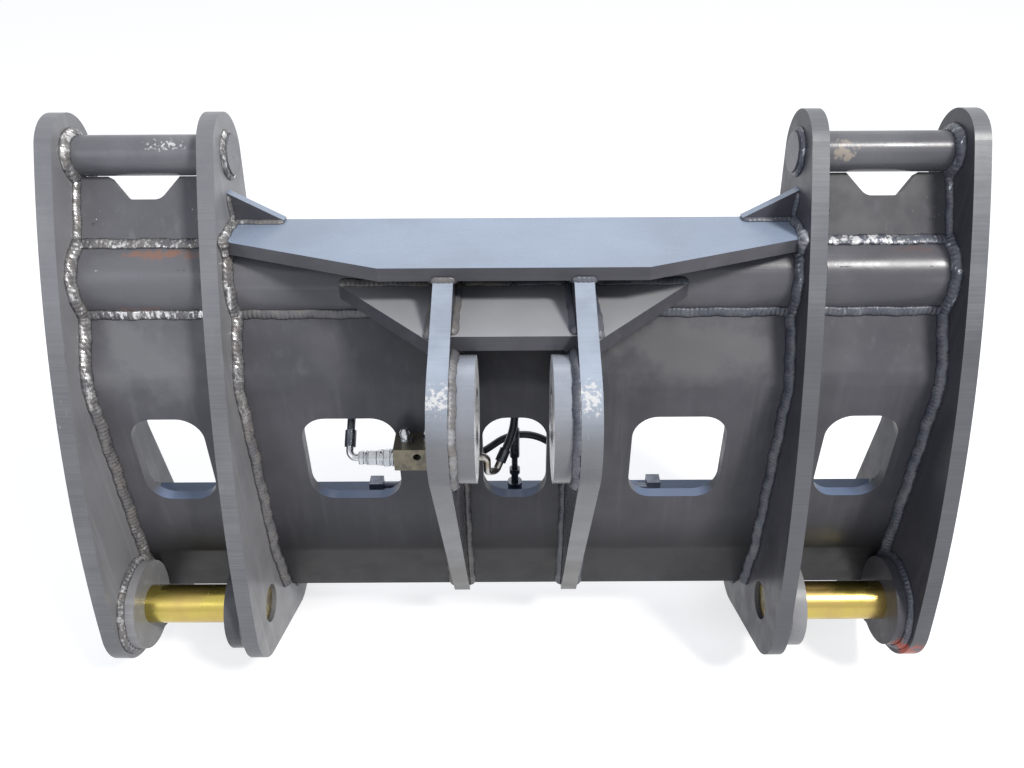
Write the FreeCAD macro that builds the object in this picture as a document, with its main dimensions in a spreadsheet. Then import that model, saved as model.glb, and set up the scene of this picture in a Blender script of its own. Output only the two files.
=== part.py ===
import FreeCAD, Part
import math
import os
from collections import namedtuple

import Sketcher

# Wheel loader quick coupler, in millimetres.
# X runs across the machine, Y points away from the loader towards the attachment, Z is up.
# The origin is the centre of the tilt link bore, midway between its two bosses.

doc = FreeCAD.newDocument("WheelLoaderCoupler")

# Driving dimensions

DRIVING_DIMENSIONS = (
    # side plates
    ("plate_thickness", 25),
    ("inner_plate_inside", 428),
    ("arm_gap", 207),
    ("bow_radius", 1850),
    ("knee_y", 292),
    ("knee_z", -215),
    ("knee_radius", 90),
    # hook bars
    ("bar_y", 315),
    ("bar_z", 263),
    ("bar_radius", 30),
    ("lobe_radius", 62),
    ("bar_stand_out", 9),
    # lift arm pins
    ("lift_pin_z", -459),
    ("lift_pin_radius", 32.5),
    ("foot_radius", 91),
    ("collar_radius", 75),
    ("inner_collar_length", 33),
    ("outer_collar_length", 24),
    ("lift_pin_recess", 7),
    ("keeper_thickness", 10),
    ("keeper_reach", 78),
    ("keeper_half_width", 24),
    ("keeper_bolt_radius", 6),
    ("keeper_bolt_depth", 18),
    ("keeper_bolt_head", 8),
    # torsion tube
    ("tube_y", 252),
    ("tube_radius", 60.5),
    ("tube_wall", 12),
    # top shelf and its gussets
    ("shelf_underside_z", 150),
    ("shelf_thickness", 20),
    ("shelf_front_y", 118),
    ("shelf_corner_y", 211),
    ("shelf_back_y", 291),
    ("shelf_half_front", 188),
    ("gusset_length", 79),
    ("gusset_height", 48),
    ("gusset_end_height", 4),
    ("gusset_thickness", 15),
    # sloping plates behind the hook bars
    ("hook_slope", 34),
    ("hook_plate_thickness", 20),
    ("hook_plate_setback", 5),
    ("scallop_depth", 35),
    ("scallop_half_top", 54),
    ("scallop_half_bottom", 25),
    ("scallop_radius", 20),
    # bent main plate and its windows
    ("main_thickness", 20),
    ("face_y", 147),
    ("upper_bend_z", -37),
    ("upper_slope", 31),
    ("upper_length", 113),
    ("lower_bend_z", -392),
    ("flange_slope", 12),
    ("flange_length", 114),
    ("bend_inside_radius", 25),
    ("window_top_z", -106),
    ("window_bottom_z", -272),
    ("window_radius", 40),
    ("centre_window_half", 52),
    ("inner_window_near", 189),
    ("inner_window_far", 341),
    ("outer_window_half", 58.5),
    # ears and bosses of the tilt link
    ("ear_inside", 84),
    ("ear_thickness", 28),
    ("nose_radius", 98),
    ("ear_top_back_y", 222),
    ("ear_foot_depth", 18),
    ("boss_radius", 88),
    ("boss_length", 33),
    ("link_bore_radius", 35),
    ("link_bush_wall", 9),
    # lower shelf and its wings
    ("mid_shelf_underside_z", 85),
    ("mid_shelf_thickness", 22),
    ("mid_shelf_front_y", 40),
    ("wing_front_y", 27),
    ("wing_back_x", 260),
    # ledge on the attachment side
    ("ledge_top_z", -340),
    ("ledge_thickness", 15),
    ("ledge_back_y", 269),
    # lock pins and their cylinders
    ("lock_y", 262),
    ("lock_z", -540),
    ("heel_radius", 86),
    ("lock_pin_radius", 25),
    ("lock_reach", 108),
    ("lock_nose_length", 20),
    ("lock_nose_radius", 17),
    ("lock_stroke", 110),
    ("housing_radius", 39),
    ("housing_length", 50),
    ("rod_radius", 12.5),
    ("piston_length", 25),
    ("barrel_radius", 34),
    ("barrel_bore", 25),
    ("barrel_cap", 51),
    ("gland_length", 36),
    ("gland_lip", 10),
    ("end_gap", 2),
    ("tail_gap", 5),
    ("anchor_thickness", 20),
    ("anchor_top_z", -430),
    ("anchor_lobe_radius", 37),
    ("spigot_radius", 10),
    ("port_boss_radius", 11),
    ("port_boss_height", 10),
    # hydraulic fittings and lines
    ("block_width", 74),
    ("block_depth", 44),
    ("block_height", 41),
    ("block_top_z", -135),
    ("block_ear_gap", 4),
    ("port_block_size", 24),
    ("port_block_x", 251),
    ("port_block_y", 245),
    ("hose_radius", 6.5),
    ("pipe_radius", 6),
    ("line_hole_radius", 16),
    ("port_set_back", 14),
    ("adaptor_flats", 24),
    ("screw_radius", 5),
    ("screw_pitch", 36),
    ("screw_depth", 18),
    ("plug_radius", 6),
    ("plug_depth", 12),
    ("cartridge_radius", 9),
    ("riser_y", 243),
    ("riser_nut_radius", 13),
    ("sleeve_radius", 8.75),
    ("port_stem_radius", 8),
    ("stem_below", 14),
    ("tee_height", 22),
    ("tee_half_length", 20),
    # clearances
    ("seat_gap", 0.3),
    ("collar_clearance", 0.55),
    ("running_fit", 0.06),
)

sheet = doc.addObject("Spreadsheet::Sheet", "Sizes")
for row, (alias, value) in enumerate(DRIVING_DIMENSIONS, start=1):
    sheet.set(f"A{row}", alias)
    sheet.set(f"B{row}", str(value))
    sheet.setAlias(f"B{row}", alias)
doc.recompute()

# Places worked out from the driving dimensions

DERIVED_PLACES = (
    ("inner_plate_outside", "Sizes.inner_plate_inside + Sizes.plate_thickness"),
    ("outer_plate_inside", "inner_plate_outside + Sizes.arm_gap"),
    ("outer_plate_outside", "outer_plate_inside + Sizes.plate_thickness"),
    ("tube_z", "Sizes.shelf_underside_z - Sizes.tube_radius - Sizes.seat_gap"),
    ("tube_hole", "Sizes.tube_radius + Sizes.seat_gap"),
    ("bar_hole", "Sizes.bar_radius + Sizes.seat_gap"),
    ("lift_hole", "Sizes.lift_pin_radius + Sizes.running_fit"),
    ("lock_hole", "Sizes.lock_pin_radius + Sizes.running_fit"),
    ("face_back_y", "Sizes.face_y + Sizes.main_thickness"),
    ("collar_to_flange", "Sizes.collar_radius + Sizes.collar_clearance"
                         " - (Sizes.lower_bend_z - Sizes.lift_pin_z) * sin(Sizes.flange_slope)"),
    ("lift_pin_y", "Sizes.face_y - collar_to_flange / cos(Sizes.flange_slope)"),
    ("bend_outside_radius", "Sizes.bend_inside_radius + Sizes.main_thickness"),
    ("upper_end_y", "Sizes.face_y + Sizes.upper_length * sin(Sizes.upper_slope)"),
    ("upper_end_z", "Sizes.upper_bend_z + Sizes.upper_length * cos(Sizes.upper_slope)"),
    ("upper_back_y", "upper_end_y + Sizes.main_thickness * cos(Sizes.upper_slope)"),
    ("upper_back_z", "upper_end_z - Sizes.main_thickness * sin(Sizes.upper_slope)"),
    ("upper_bend_back_z", "Sizes.upper_bend_z - Sizes.main_thickness * tan(Sizes.upper_slope / 2)"),
    ("lower_bend_back_z", "Sizes.lower_bend_z + Sizes.main_thickness * tan(Sizes.flange_slope / 2)"),
    ("flange_end_y", "Sizes.face_y + Sizes.flange_length * sin(Sizes.flange_slope)"),
    ("flange_end_z", "Sizes.lower_bend_z - Sizes.flange_length * cos(Sizes.flange_slope)"),
    ("flange_back_y", "flange_end_y + Sizes.main_thickness * cos(Sizes.flange_slope)"),
    ("flange_back_z", "flange_end_z + Sizes.main_thickness * sin(Sizes.flange_slope)"),
    ("shelf_top_z", "Sizes.shelf_underside_z + Sizes.shelf_thickness"),
    ("ear_outside", "Sizes.ear_inside + Sizes.ear_thickness"),
    ("boss_face", "Sizes.ear_inside - Sizes.boss_length"),
    ("bush_outside", "Sizes.link_bore_radius + Sizes.link_bush_wall"),
    ("ear_foot_y", "flange_end_y - Sizes.ear_foot_depth"),
    ("mid_shelf_top_z", "Sizes.mid_shelf_underside_z + Sizes.mid_shelf_thickness"),
    ("bay_length", "Sizes.arm_gap"),
    ("bay_middle", "inner_plate_outside + Sizes.arm_gap / 2"),
    ("tube_in_slope_y", "(Sizes.tube_y - Sizes.bar_y) * cos(Sizes.hook_slope)"
                        " - (tube_z - Sizes.bar_z) * sin(Sizes.hook_slope)"),
    ("tube_in_slope_z", "(Sizes.tube_y - Sizes.bar_y) * sin(Sizes.hook_slope)"
                        " + (tube_z - Sizes.bar_z) * cos(Sizes.hook_slope)"),
    ("hook_plate_top", "-bar_hole"),
    ("scallop_floor", "-Sizes.bar_radius - Sizes.scallop_depth"),
    ("ledge_underside_z", "Sizes.ledge_top_z - Sizes.ledge_thickness"),
    ("lock_nose_x", "inner_plate_outside + Sizes.lock_reach"),
    ("housing_x", "Sizes.inner_plate_inside - Sizes.housing_length"),
    ("chamber_x", "Sizes.anchor_thickness / 2 + Sizes.barrel_cap"),
    ("piston_back_x", "chamber_x + Sizes.end_gap + Sizes.lock_stroke"),
    ("piston_face_x", "piston_back_x + Sizes.piston_length"),
    ("gland_inner_x", "piston_face_x + Sizes.end_gap"),
    ("gland_face_x", "gland_inner_x + Sizes.gland_length"),
    ("barrel_end_x", "gland_face_x - Sizes.gland_lip"),
    ("lock_tail_x", "gland_face_x + Sizes.lock_stroke + Sizes.tail_gap"),
    ("outer_window_near", "bay_middle - Sizes.outer_window_half"),
    ("outer_window_far", "bay_middle + Sizes.outer_window_half"),
    ("barrel_top_z", "Sizes.lock_z + Sizes.barrel_radius"),
    ("port_top_z", "barrel_top_z + Sizes.port_boss_height"),
    ("cap_port_x", "chamber_x + Sizes.port_boss_radius"),
    ("rod_port_x", "gland_inner_x - Sizes.port_boss_radius"),
    ("block_near_x", "ear_outside + Sizes.block_ear_gap"),
    ("block_far_x", "block_near_x + Sizes.block_width"),
    ("block_front_y", "Sizes.face_y - Sizes.block_depth"),
    ("block_middle_y", "Sizes.face_y - Sizes.block_depth / 2"),
    ("block_middle_z", "Sizes.block_top_z - Sizes.block_height / 2"),
    ("block_underside_z", "Sizes.block_top_z - Sizes.block_height"),
    ("block_middle_x", "(block_near_x + block_far_x) / 2"),
    ("port_y", "block_front_y + Sizes.port_set_back"),
    ("port_z", "block_middle_z - 5"),
    ("plug_z", "block_middle_z + 6"),
    ("screw_z", "block_middle_z - 8"),
    ("riser_top_z", "Sizes.ledge_top_z + 125"),
)

places = doc.addObject("App::VarSet", "Places")
for name, formula in DERIVED_PLACES:
    places.addProperty("App::PropertyFloat", name, "Places")
    places.setExpression(name, formula)
doc.recompute()

# Points of an outline: a corner may be rounded, a lobe is an arc about its own centre.
# Outlines run anticlockwise, so that the material lies on their left.
Corner = namedtuple("Corner", "x y radius", defaults=(None,))
Lobe = namedtuple("Lobe", "x y radius bow", defaults=(None,))

SIDES = (("left", -1), ("right", 1))

# names of the objects that are only members of another piece
inner_pieces = []


def value(name):
    """Number behind a name such as Sizes.bar_radius."""
    holder, alias = name.split(".")
    return float(getattr(doc.getObject(holder), alias))


def new_body(label):
    body = doc.addObject("PartDesign::Body", label)
    body.Label = label
    return body


def new_sketch(body, name, role, offset=None):
    """Sketch on one of the body's own origin planes, moved along the plane's normal by offset."""
    planes = {feature.Role: feature for feature in body.Origin.OriginFeatures}
    sketch = body.newObject("Sketcher::SketchObject", name)
    sketch.AttachmentSupport = (planes[role], "")
    sketch.MapMode = "FlatFace"
    if offset:
        sketch.setExpression("AttachmentOffset.Base.z", offset)
    return sketch


def bind(sketch, constraint, formula):
    index = sketch.addConstraint(constraint)
    sketch.setExpression(f"Constraints[{index}]", formula)


def fixed_points(sketch, pairs):
    """Construction points at the given formulas; returns their indices and solved places."""
    indices = []
    for x_formula, y_formula in pairs:
        point = sketch.addGeometry(Part.Point(FreeCAD.Vector(1, 1, 0)), True)
        bind(sketch, Sketcher.Constraint("DistanceX", point, 1, 1.0), x_formula)
        bind(sketch, Sketcher.Constraint("DistanceY", point, 1, 1.0), y_formula)
        indices.append(point)
    doc.recompute()
    solved = [FreeCAD.Vector(sketch.Geometry[i].X, sketch.Geometry[i].Y, 0) for i in indices]
    return indices, solved


def turned(vector, angle):
    cosine, sine = math.cos(angle), math.sin(angle)
    return FreeCAD.Vector(vector.x * cosine - vector.y * sine, vector.x * sine + vector.y * cosine, 0)


def tangent_line(start, start_radius, end, end_radius):
    """Straight run that leaves two circles on its left; a radius of 0 is a plain corner."""
    across = end - start
    lean = math.asin((end_radius - start_radius) / across.Length)
    direction = turned(across / across.Length, -lean)
    outward = FreeCAD.Vector(direction.y, -direction.x, 0)
    return start + outward * start_radius, end + outward * end_radius


def bow_centre(start, start_radius, end, end_radius, radius):
    """Centre of a large arc that holds both lobes inside it."""
    across = end - start
    reach_start, reach_end = radius - start_radius, radius - end_radius
    along = (reach_start ** 2 - reach_end ** 2 + across.Length ** 2) / (2 * across.Length)
    height = math.sqrt(reach_start ** 2 - along ** 2)
    direction = across / across.Length
    return start + direction * along + turned(direction, math.pi / 2) * height


def arc_between(centre, start, end):
    radius = (start - centre).Length
    first = math.atan2(start.y - centre.y, start.x - centre.x)
    last = math.atan2(end.y - centre.y, end.x - centre.x)
    circle = Part.Circle(centre, FreeCAD.Vector(0, 0, 1), radius)
    return Part.ArcOfCircle(circle, first, last)


def add_outline(sketch, items):
    """Closed outline of straight runs, rounded corners, lobes and bows, with every size bound."""
    points, centres = fixed_points(sketch, [(item.x, item.y) for item in items])
    count = len(items)
    radii = [value(item.radius) if isinstance(item, Lobe) else 0.0 for item in items]
    starts, ends, bows = [None] * count, [None] * count, [None] * count
    for i, item in enumerate(items):
        k = (i + 1) % count
        if isinstance(item, Lobe) and item.bow:
            centre = bow_centre(centres[i], radii[i], centres[k], radii[k], value(item.bow))
            starts[i] = centres[i] + (centres[i] - centre).normalize() * radii[i]
            ends[i] = centres[k] + (centres[k] - centre).normalize() * radii[k]
            bows[i] = centre
        else:
            starts[i], ends[i] = tangent_line(centres[i], radii[i], centres[k], radii[k])

    turns = [None] * count
    for i, item in enumerate(items):
        if isinstance(item, Corner) and item.radius:
            came = (ends[i - 1] - starts[i - 1]).normalize()
            goes = (ends[i] - starts[i]).normalize()
            cross = came.x * goes.y - came.y * goes.x
            turn = math.atan2(cross, came.dot(goes))
            reach = value(item.radius) * math.tan(abs(turn) / 2)
            left = turned(came, math.copysign(math.pi / 2, turn))
            ends[i - 1] = centres[i] - came * reach
            starts[i] = centres[i] + goes * reach
            turns[i] = (ends[i - 1] + left * value(item.radius), turn > 0)

    # the runs between the items
    runs = []
    for i in range(count):
        if bows[i] is not None:
            runs.append(sketch.addGeometry(arc_between(bows[i], starts[i], ends[i])))
            bind(sketch, Sketcher.Constraint("Radius", runs[i], value(items[i].bow)), items[i].bow)
        else:
            runs.append(sketch.addGeometry(Part.LineSegment(starts[i], ends[i])))

    # the items themselves
    for i, item in enumerate(items):
        before, after = runs[i - 1], runs[i]
        if isinstance(item, Lobe):
            arc = sketch.addGeometry(arc_between(centres[i], ends[i - 1], starts[i]))
            sketch.addConstraint(Sketcher.Constraint("Coincident", arc, 3, points[i], 1))
            bind(sketch, Sketcher.Constraint("Radius", arc, radii[i]), item.radius)
            sketch.addConstraint(Sketcher.Constraint("Tangent", before, 2, arc, 1))
            sketch.addConstraint(Sketcher.Constraint("Tangent", arc, 2, after, 1))
        elif turns[i]:
            centre, anticlockwise = turns[i]
            first, last = (ends[i - 1], starts[i]) if anticlockwise else (starts[i], ends[i - 1])
            entry, leaving = (1, 2) if anticlockwise else (2, 1)
            arc = sketch.addGeometry(arc_between(centre, first, last))
            bind(sketch, Sketcher.Constraint("Radius", arc, value(item.radius)), item.radius)
            sketch.addConstraint(Sketcher.Constraint("PointOnObject", points[i], 1, before))
            sketch.addConstraint(Sketcher.Constraint("PointOnObject", points[i], 1, after))
            sketch.addConstraint(Sketcher.Constraint("Tangent", before, 2, arc, entry))
            sketch.addConstraint(Sketcher.Constraint("Tangent", arc, leaving, after, 1))
        else:
            sketch.addConstraint(Sketcher.Constraint("Coincident", before, 2, points[i], 1))
            sketch.addConstraint(Sketcher.Constraint("Coincident", after, 1, points[i], 1))


def add_circle(sketch, x_formula, y_formula, radius_formula):
    points, centres = fixed_points(sketch, [(x_formula, y_formula)])
    circle = sketch.addGeometry(Part.Circle(centres[0], FreeCAD.Vector(0, 0, 1), 1))
    sketch.addConstraint(Sketcher.Constraint("Coincident", circle, 3, points[0], 1))
    bind(sketch, Sketcher.Constraint("Radius", circle, 1.0), radius_formula)


def pad(body, sketch, length, symmetric=False):
    feature = body.newObject("PartDesign::Pad", "Pad")
    feature.Profile = sketch
    feature.setExpression("Length", length)
    if symmetric:
        feature.SideType = "Symmetric"
    doc.recompute()
    return feature


def cut_through(body, sketch):
    """Cut on both sides of the sketch; the volume has to fall."""
    before = body.Shape.Volume
    feature = body.newObject("PartDesign::Pocket", "Cut")
    feature.Profile = sketch
    feature.Type = "ThroughAll"
    feature.SideType = "Symmetric"
    doc.recompute()
    if body.Shape.Volume > before - 1.0:
        raise RuntimeError(f"{body.Label}: a cut removed nothing")
    return feature


def revolve(body, sketch, axis="H_Axis"):
    """Turn a profile about one of the sketch's own axes."""
    feature = body.newObject("PartDesign::Revolution", "Turned")
    feature.Profile = sketch
    feature.ReferenceAxis = (sketch, [axis])
    feature.Angle = 360
    doc.recompute()
    return feature


def joined(label, members):
    """One piece made of several that are welded or brazed together."""
    feature = doc.addObject("Part::MultiFuse", label)
    feature.Shapes = members
    feature.Label = label
    inner_pieces.extend(member.Name for member in members)
    doc.recompute()
    return feature


def grouped(label, members):
    """Like fasteners that share one node."""
    feature = doc.addObject("Part::Compound", label)
    feature.Links = members
    feature.Label = label
    inner_pieces.extend(member.Name for member in members)
    doc.recompute()
    return feature


def place(body, x=None, y=None, z=None):
    for axis, formula in (("x", x), ("y", y), ("z", z)):
        if formula:
            body.setExpression(f"Placement.Base.{axis}", formula)


def block(label, x, y, z):
    """Rectangular plate or block given by the formulas of its two ends along each axis."""
    body = new_body(label)
    sketch = new_sketch(body, "Outline", "XY_Plane", z[0])
    add_outline(sketch, [Corner(x[0], y[0]), Corner(x[1], y[0]), Corner(x[1], y[1]), Corner(x[0], y[1])])
    pad(body, sketch, f"{z[1]} - ({z[0]})")
    return body


def turned_about_x(label, side, y, z, profile, bore=None):
    """Round piece about an axis along X; the profile is a run of places along X with their radii."""
    body = new_body(label)
    sketch = new_sketch(body, "Profile", "XZ_Plane")
    inside = bore or "0"
    stations = [(profile[0][0], inside), *profile, (profile[-1][0], inside)]
    corners = [Corner(f"{side} * ({x})", radius) for x, radius in stations]
    add_outline(sketch, corners if side < 0 else corners[::-1])
    revolve(body, sketch)
    place(body, y=y, z=z)
    return body


def ring(label, side, start, end, y, z, outer, bore):
    """Plain ring about an axis along X."""
    return turned_about_x(label, side, y, z, ((start, outer), (end, outer)), bore)


def turned_about_z(label, x, y, profile, bore=None):
    """Round piece about an upright axis; the profile is a run of heights with their radii."""
    body = new_body(label)
    sketch = new_sketch(body, "Profile", "XZ_Plane")
    inside = bore or "0"
    stations = [(profile[0][0], inside), *profile, (profile[-1][0], inside)]
    add_outline(sketch, [Corner(radius, z) for z, radius in stations])
    revolve(body, sketch, "V_Axis")
    place(body, x=x, y=y)
    return body


def add_hexagon(sketch, x_formula, y_formula, across_flats):
    """Hexagon outline about a centre, with a flat on either side of it."""
    corner = f"({across_flats}) / sqrt(3)"
    steps = (0, 60, 120, 180, 240, 300)
    add_outline(sketch, [Corner(f"{x_formula} + {corner} * cos({angle} + 30)",
                                f"{y_formula} + {corner} * sin({angle} + 30)") for angle in steps])


def side_plate(label, side, inside, extra_holes):
    """Tall plate with a lobe about each of its three pin axes and a bowed front edge."""
    body = new_body(label)
    sketch = new_sketch(body, "Outline", "YZ_Plane")
    add_outline(sketch, [
        Lobe("Sizes.bar_y", "Sizes.bar_z", "Sizes.lobe_radius", bow="Sizes.bow_radius"),
        Lobe("Places.lift_pin_y", "Sizes.lift_pin_z", "Sizes.foot_radius"),
        Lobe("Sizes.lock_y", "Sizes.lock_z", "Sizes.heel_radius"),
        Corner("Sizes.knee_y", "Sizes.knee_z", "Sizes.knee_radius"),
    ])
    pad(body, sketch, "Sizes.plate_thickness", symmetric=True)
    holes = new_sketch(body, "Holes", "YZ_Plane")
    add_circle(holes, "Sizes.bar_y", "Sizes.bar_z", "Places.bar_hole")
    add_circle(holes, "Places.lift_pin_y", "Sizes.lift_pin_z", "Places.lift_hole")
    for y, z, radius in extra_holes:
        add_circle(holes, y, z, radius)
    cut_through(body, holes)
    place(body, x=f"{side} * ({inside} + Sizes.plate_thickness / 2)")
    return body


# Side plates, hook bars and the collars of the lift arm pins

LOCK_HOLE = ("Sizes.lock_y", "Sizes.lock_z", "Places.lock_hole")
KEEPER_HOLE = ("Places.lift_pin_y", "Sizes.lift_pin_z + Sizes.keeper_reach - Sizes.keeper_half_width / 2",
               "Sizes.keeper_bolt_radius + Sizes.seat_gap")

for word, side in SIDES:
    side_plate(f"inner_plate_{word}", side, "Sizes.inner_plate_inside", (LOCK_HOLE,))
    side_plate(f"outer_plate_{word}", side, "Places.outer_plate_inside", (KEEPER_HOLE,))

    bar_profile = (("Sizes.inner_plate_inside - Sizes.bar_stand_out", "Sizes.bar_radius"),
                   ("Places.outer_plate_outside", "Sizes.bar_radius"))
    turned_about_x(f"hook_bar_{word}", side, "Sizes.bar_y", "Sizes.bar_z", bar_profile)

    ring(f"inner_collar_{word}", side, "Places.inner_plate_outside",
         "Places.inner_plate_outside + Sizes.inner_collar_length",
         "Places.lift_pin_y", "Sizes.lift_pin_z", "Sizes.collar_radius", "Places.lift_hole")
    ring(f"outer_collar_{word}", side, "Places.outer_plate_inside - Sizes.outer_collar_length",
         "Places.outer_plate_inside", "Places.lift_pin_y", "Sizes.lift_pin_z",
         "Sizes.collar_radius", "Places.lift_hole")


def keeper(word, side):
    """Flag plate welded on the outer end of a lift arm pin, with the hole of its bolt."""
    body = new_body(f"pin_flag_{word}")
    sketch = new_sketch(body, "Outline", "YZ_Plane")
    low, high = "-Sizes.lift_pin_radius", "Sizes.keeper_reach"
    near, far = "-Sizes.keeper_half_width", "Sizes.keeper_half_width"
    add_outline(sketch, [Corner(near, low, "Sizes.keeper_bolt_radius"),
                         Corner(far, low, "Sizes.keeper_bolt_radius"),
                         Corner(far, high, "Sizes.keeper_bolt_radius"),
                         Corner(near, high, "Sizes.keeper_bolt_radius")])
    pad(body, sketch, "Sizes.keeper_thickness", symmetric=True)
    hole = new_sketch(body, "BoltHole", "YZ_Plane")
    add_circle(hole, "0", "Sizes.keeper_reach - Sizes.keeper_half_width / 2",
               "Sizes.keeper_bolt_radius + Sizes.seat_gap")
    cut_through(body, hole)
    place(body, x=f"{side} * (Places.outer_plate_outside + Sizes.seat_gap + Sizes.keeper_thickness / 2)",
          y="Places.lift_pin_y", z="Sizes.lift_pin_z")
    return body


for word, side in SIDES:
    pin_profile = (("Sizes.inner_plate_inside + Sizes.lift_pin_recess", "Sizes.lift_pin_radius - 3"),
                   ("Sizes.inner_plate_inside + Sizes.lift_pin_recess + 3", "Sizes.lift_pin_radius"),
                   ("Places.outer_plate_outside + Sizes.seat_gap", "Sizes.lift_pin_radius"))
    shank = turned_about_x(f"pin_shank_{word}", side, "Places.lift_pin_y", "Sizes.lift_pin_z", pin_profile)
    joined(f"lift_pin_{word}", [shank, keeper(word, side)])
    plate_face = "Places.outer_plate_outside + Sizes.seat_gap + Sizes.keeper_thickness"
    head_radius = "Sizes.keeper_bolt_radius * 1.7"
    bolt_end = f"{plate_face} - Sizes.keeper_thickness - Sizes.keeper_bolt_depth"
    bolt_profile = ((bolt_end, "Sizes.keeper_bolt_radius"), (plate_face, "Sizes.keeper_bolt_radius"),
                    (plate_face, head_radius), (f"{plate_face} + Sizes.keeper_bolt_head", head_radius))
    turned_about_x(f"keeper_bolt_{word}", side, KEEPER_HOLE[0], KEEPER_HOLE[1], bolt_profile)

# Torsion tube between the outer plates

tube = new_body("torsion_tube")
tube_section = new_sketch(tube, "Section", "YZ_Plane")
add_circle(tube_section, "Sizes.tube_y", "Places.tube_z", "Sizes.tube_radius")
add_circle(tube_section, "Sizes.tube_y", "Places.tube_z", "Sizes.tube_radius - Sizes.tube_wall")
pad(tube, tube_section, "2 * Places.outer_plate_inside", symmetric=True)

for word, side in SIDES:
    plate = doc.getObject(f"inner_plate_{word}")
    tube_hole = new_sketch(plate, "TubeHole", "YZ_Plane")
    add_circle(tube_hole, "Sizes.tube_y", "Places.tube_z", "Places.tube_hole")
    cut_through(plate, tube_hole)


# Bent main plate with five windows

main_profile_corners = [
    Corner("Places.flange_end_y", "Places.flange_end_z"),
    Corner("Places.flange_back_y", "Places.flange_back_z"),
    Corner("Places.face_back_y", "Places.lower_bend_back_z", "Sizes.bend_inside_radius"),
    Corner("Places.face_back_y", "Places.upper_bend_back_z", "Sizes.bend_inside_radius"),
    Corner("Places.upper_back_y", "Places.upper_back_z"),
    Corner("Places.upper_end_y", "Places.upper_end_z"),
    Corner("Sizes.face_y", "Sizes.upper_bend_z", "Places.bend_outside_radius"),
    Corner("Sizes.face_y", "Sizes.lower_bend_z", "Places.bend_outside_radius"),
]


def main_plate_span(label, start, end):
    """One width of the bent plate, seated against the torsion tube."""
    body = new_body(label)
    profile = new_sketch(body, "Profile", "YZ_Plane", start)
    add_outline(profile, main_profile_corners)
    pad(body, profile, f"{end} - ({start})")
    seat = new_sketch(body, "TubeSeat", "YZ_Plane")
    add_circle(seat, "Sizes.tube_y", "Places.tube_z", "Places.tube_hole")
    cut_through(body, seat)
    return body


def add_window(body, name, near, far):
    """Round-cornered window in the upright face of the main plate."""
    sketch = new_sketch(body, name, "XZ_Plane", "-Sizes.face_y")
    add_outline(sketch, [Corner(near, "Sizes.window_bottom_z", "Sizes.window_radius"),
                         Corner(far, "Sizes.window_bottom_z", "Sizes.window_radius"),
                         Corner(far, "Sizes.window_top_z", "Sizes.window_radius"),
                         Corner(near, "Sizes.window_top_z", "Sizes.window_radius")])
    cut_through(body, sketch)


middle_plate = main_plate_span("main_plate_middle", "-Sizes.inner_plate_inside", "Sizes.inner_plate_inside")
add_window(middle_plate, "CentreWindow", "-Sizes.centre_window_half", "Sizes.centre_window_half")
add_window(middle_plate, "RightWindow", "Sizes.inner_window_near", "Sizes.inner_window_far")
add_window(middle_plate, "LeftWindow", "-Sizes.inner_window_far", "-Sizes.inner_window_near")

left_plate = main_plate_span("main_plate_left", "-Places.outer_plate_inside", "-Places.inner_plate_outside")
add_window(left_plate, "Window", "-Places.outer_window_far", "-Places.outer_window_near")
right_plate = main_plate_span("main_plate_right", "Places.inner_plate_outside", "Places.outer_plate_inside")
add_window(right_plate, "Window", "Places.outer_window_near", "Places.outer_window_far")


# Sloping plates behind the hook bars, scalloped for the hook tips

def hook_back_plate(word, side):
    body = new_body(f"hook_back_plate_{word}")
    sketch = new_sketch(body, "Outline", "XZ_Plane", "-Sizes.hook_plate_setback")
    half_bay = "Places.bay_length / 2"
    bottom = "Places.tube_in_slope_z + Sizes.tube_radius / 2"
    add_outline(sketch, [
        Corner(f"-{half_bay}", bottom),
        Corner(half_bay, bottom),
        Corner(half_bay, "Places.hook_plate_top"),
        Corner("Sizes.scallop_half_top", "Places.hook_plate_top"),
        Corner("Sizes.scallop_half_bottom", "Places.scallop_floor", "Sizes.scallop_radius"),
        Corner("-Sizes.scallop_half_bottom", "Places.scallop_floor", "Sizes.scallop_radius"),
        Corner("-Sizes.scallop_half_top", "Places.hook_plate_top"),
        Corner(f"-{half_bay}", "Places.hook_plate_top"),
    ])
    plate = pad(body, sketch, "Sizes.hook_plate_thickness")
    plate.Reversed = True
    seat = new_sketch(body, "TubeSeat", "YZ_Plane")
    add_circle(seat, "Places.tube_in_slope_y", "Places.tube_in_slope_z", "Places.tube_hole")
    cut_through(body, seat)
    body.Placement.Rotation = FreeCAD.Rotation(FreeCAD.Vector(1, 0, 0), 0)
    body.setExpression("Placement.Rotation.Axis.x", "1")
    body.setExpression("Placement.Rotation.Axis.z", "0")
    body.setExpression("Placement.Rotation.Angle", "-Sizes.hook_slope")
    place(body, x=f"{side} * Places.bay_middle", y="Sizes.bar_y", z="Sizes.bar_z")


for word, side in SIDES:
    hook_back_plate(word, side)

# Top shelf with chamfered front corners, and the gussets on its back edge

shelf = new_body("top_shelf")
shelf_outline = new_sketch(shelf, "Outline", "XY_Plane", "Sizes.shelf_underside_z")
add_outline(shelf_outline, [
    Corner("-Sizes.shelf_half_front", "Sizes.shelf_front_y"),
    Corner("Sizes.shelf_half_front", "Sizes.shelf_front_y"),
    Corner("Sizes.inner_plate_inside", "Sizes.shelf_corner_y"),
    Corner("Sizes.inner_plate_inside", "Sizes.shelf_back_y"),
    Corner("-Sizes.inner_plate_inside", "Sizes.shelf_back_y"),
    Corner("-Sizes.inner_plate_inside", "Sizes.shelf_corner_y"),
])
pad(shelf, shelf_outline, "Sizes.shelf_thickness")

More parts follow.
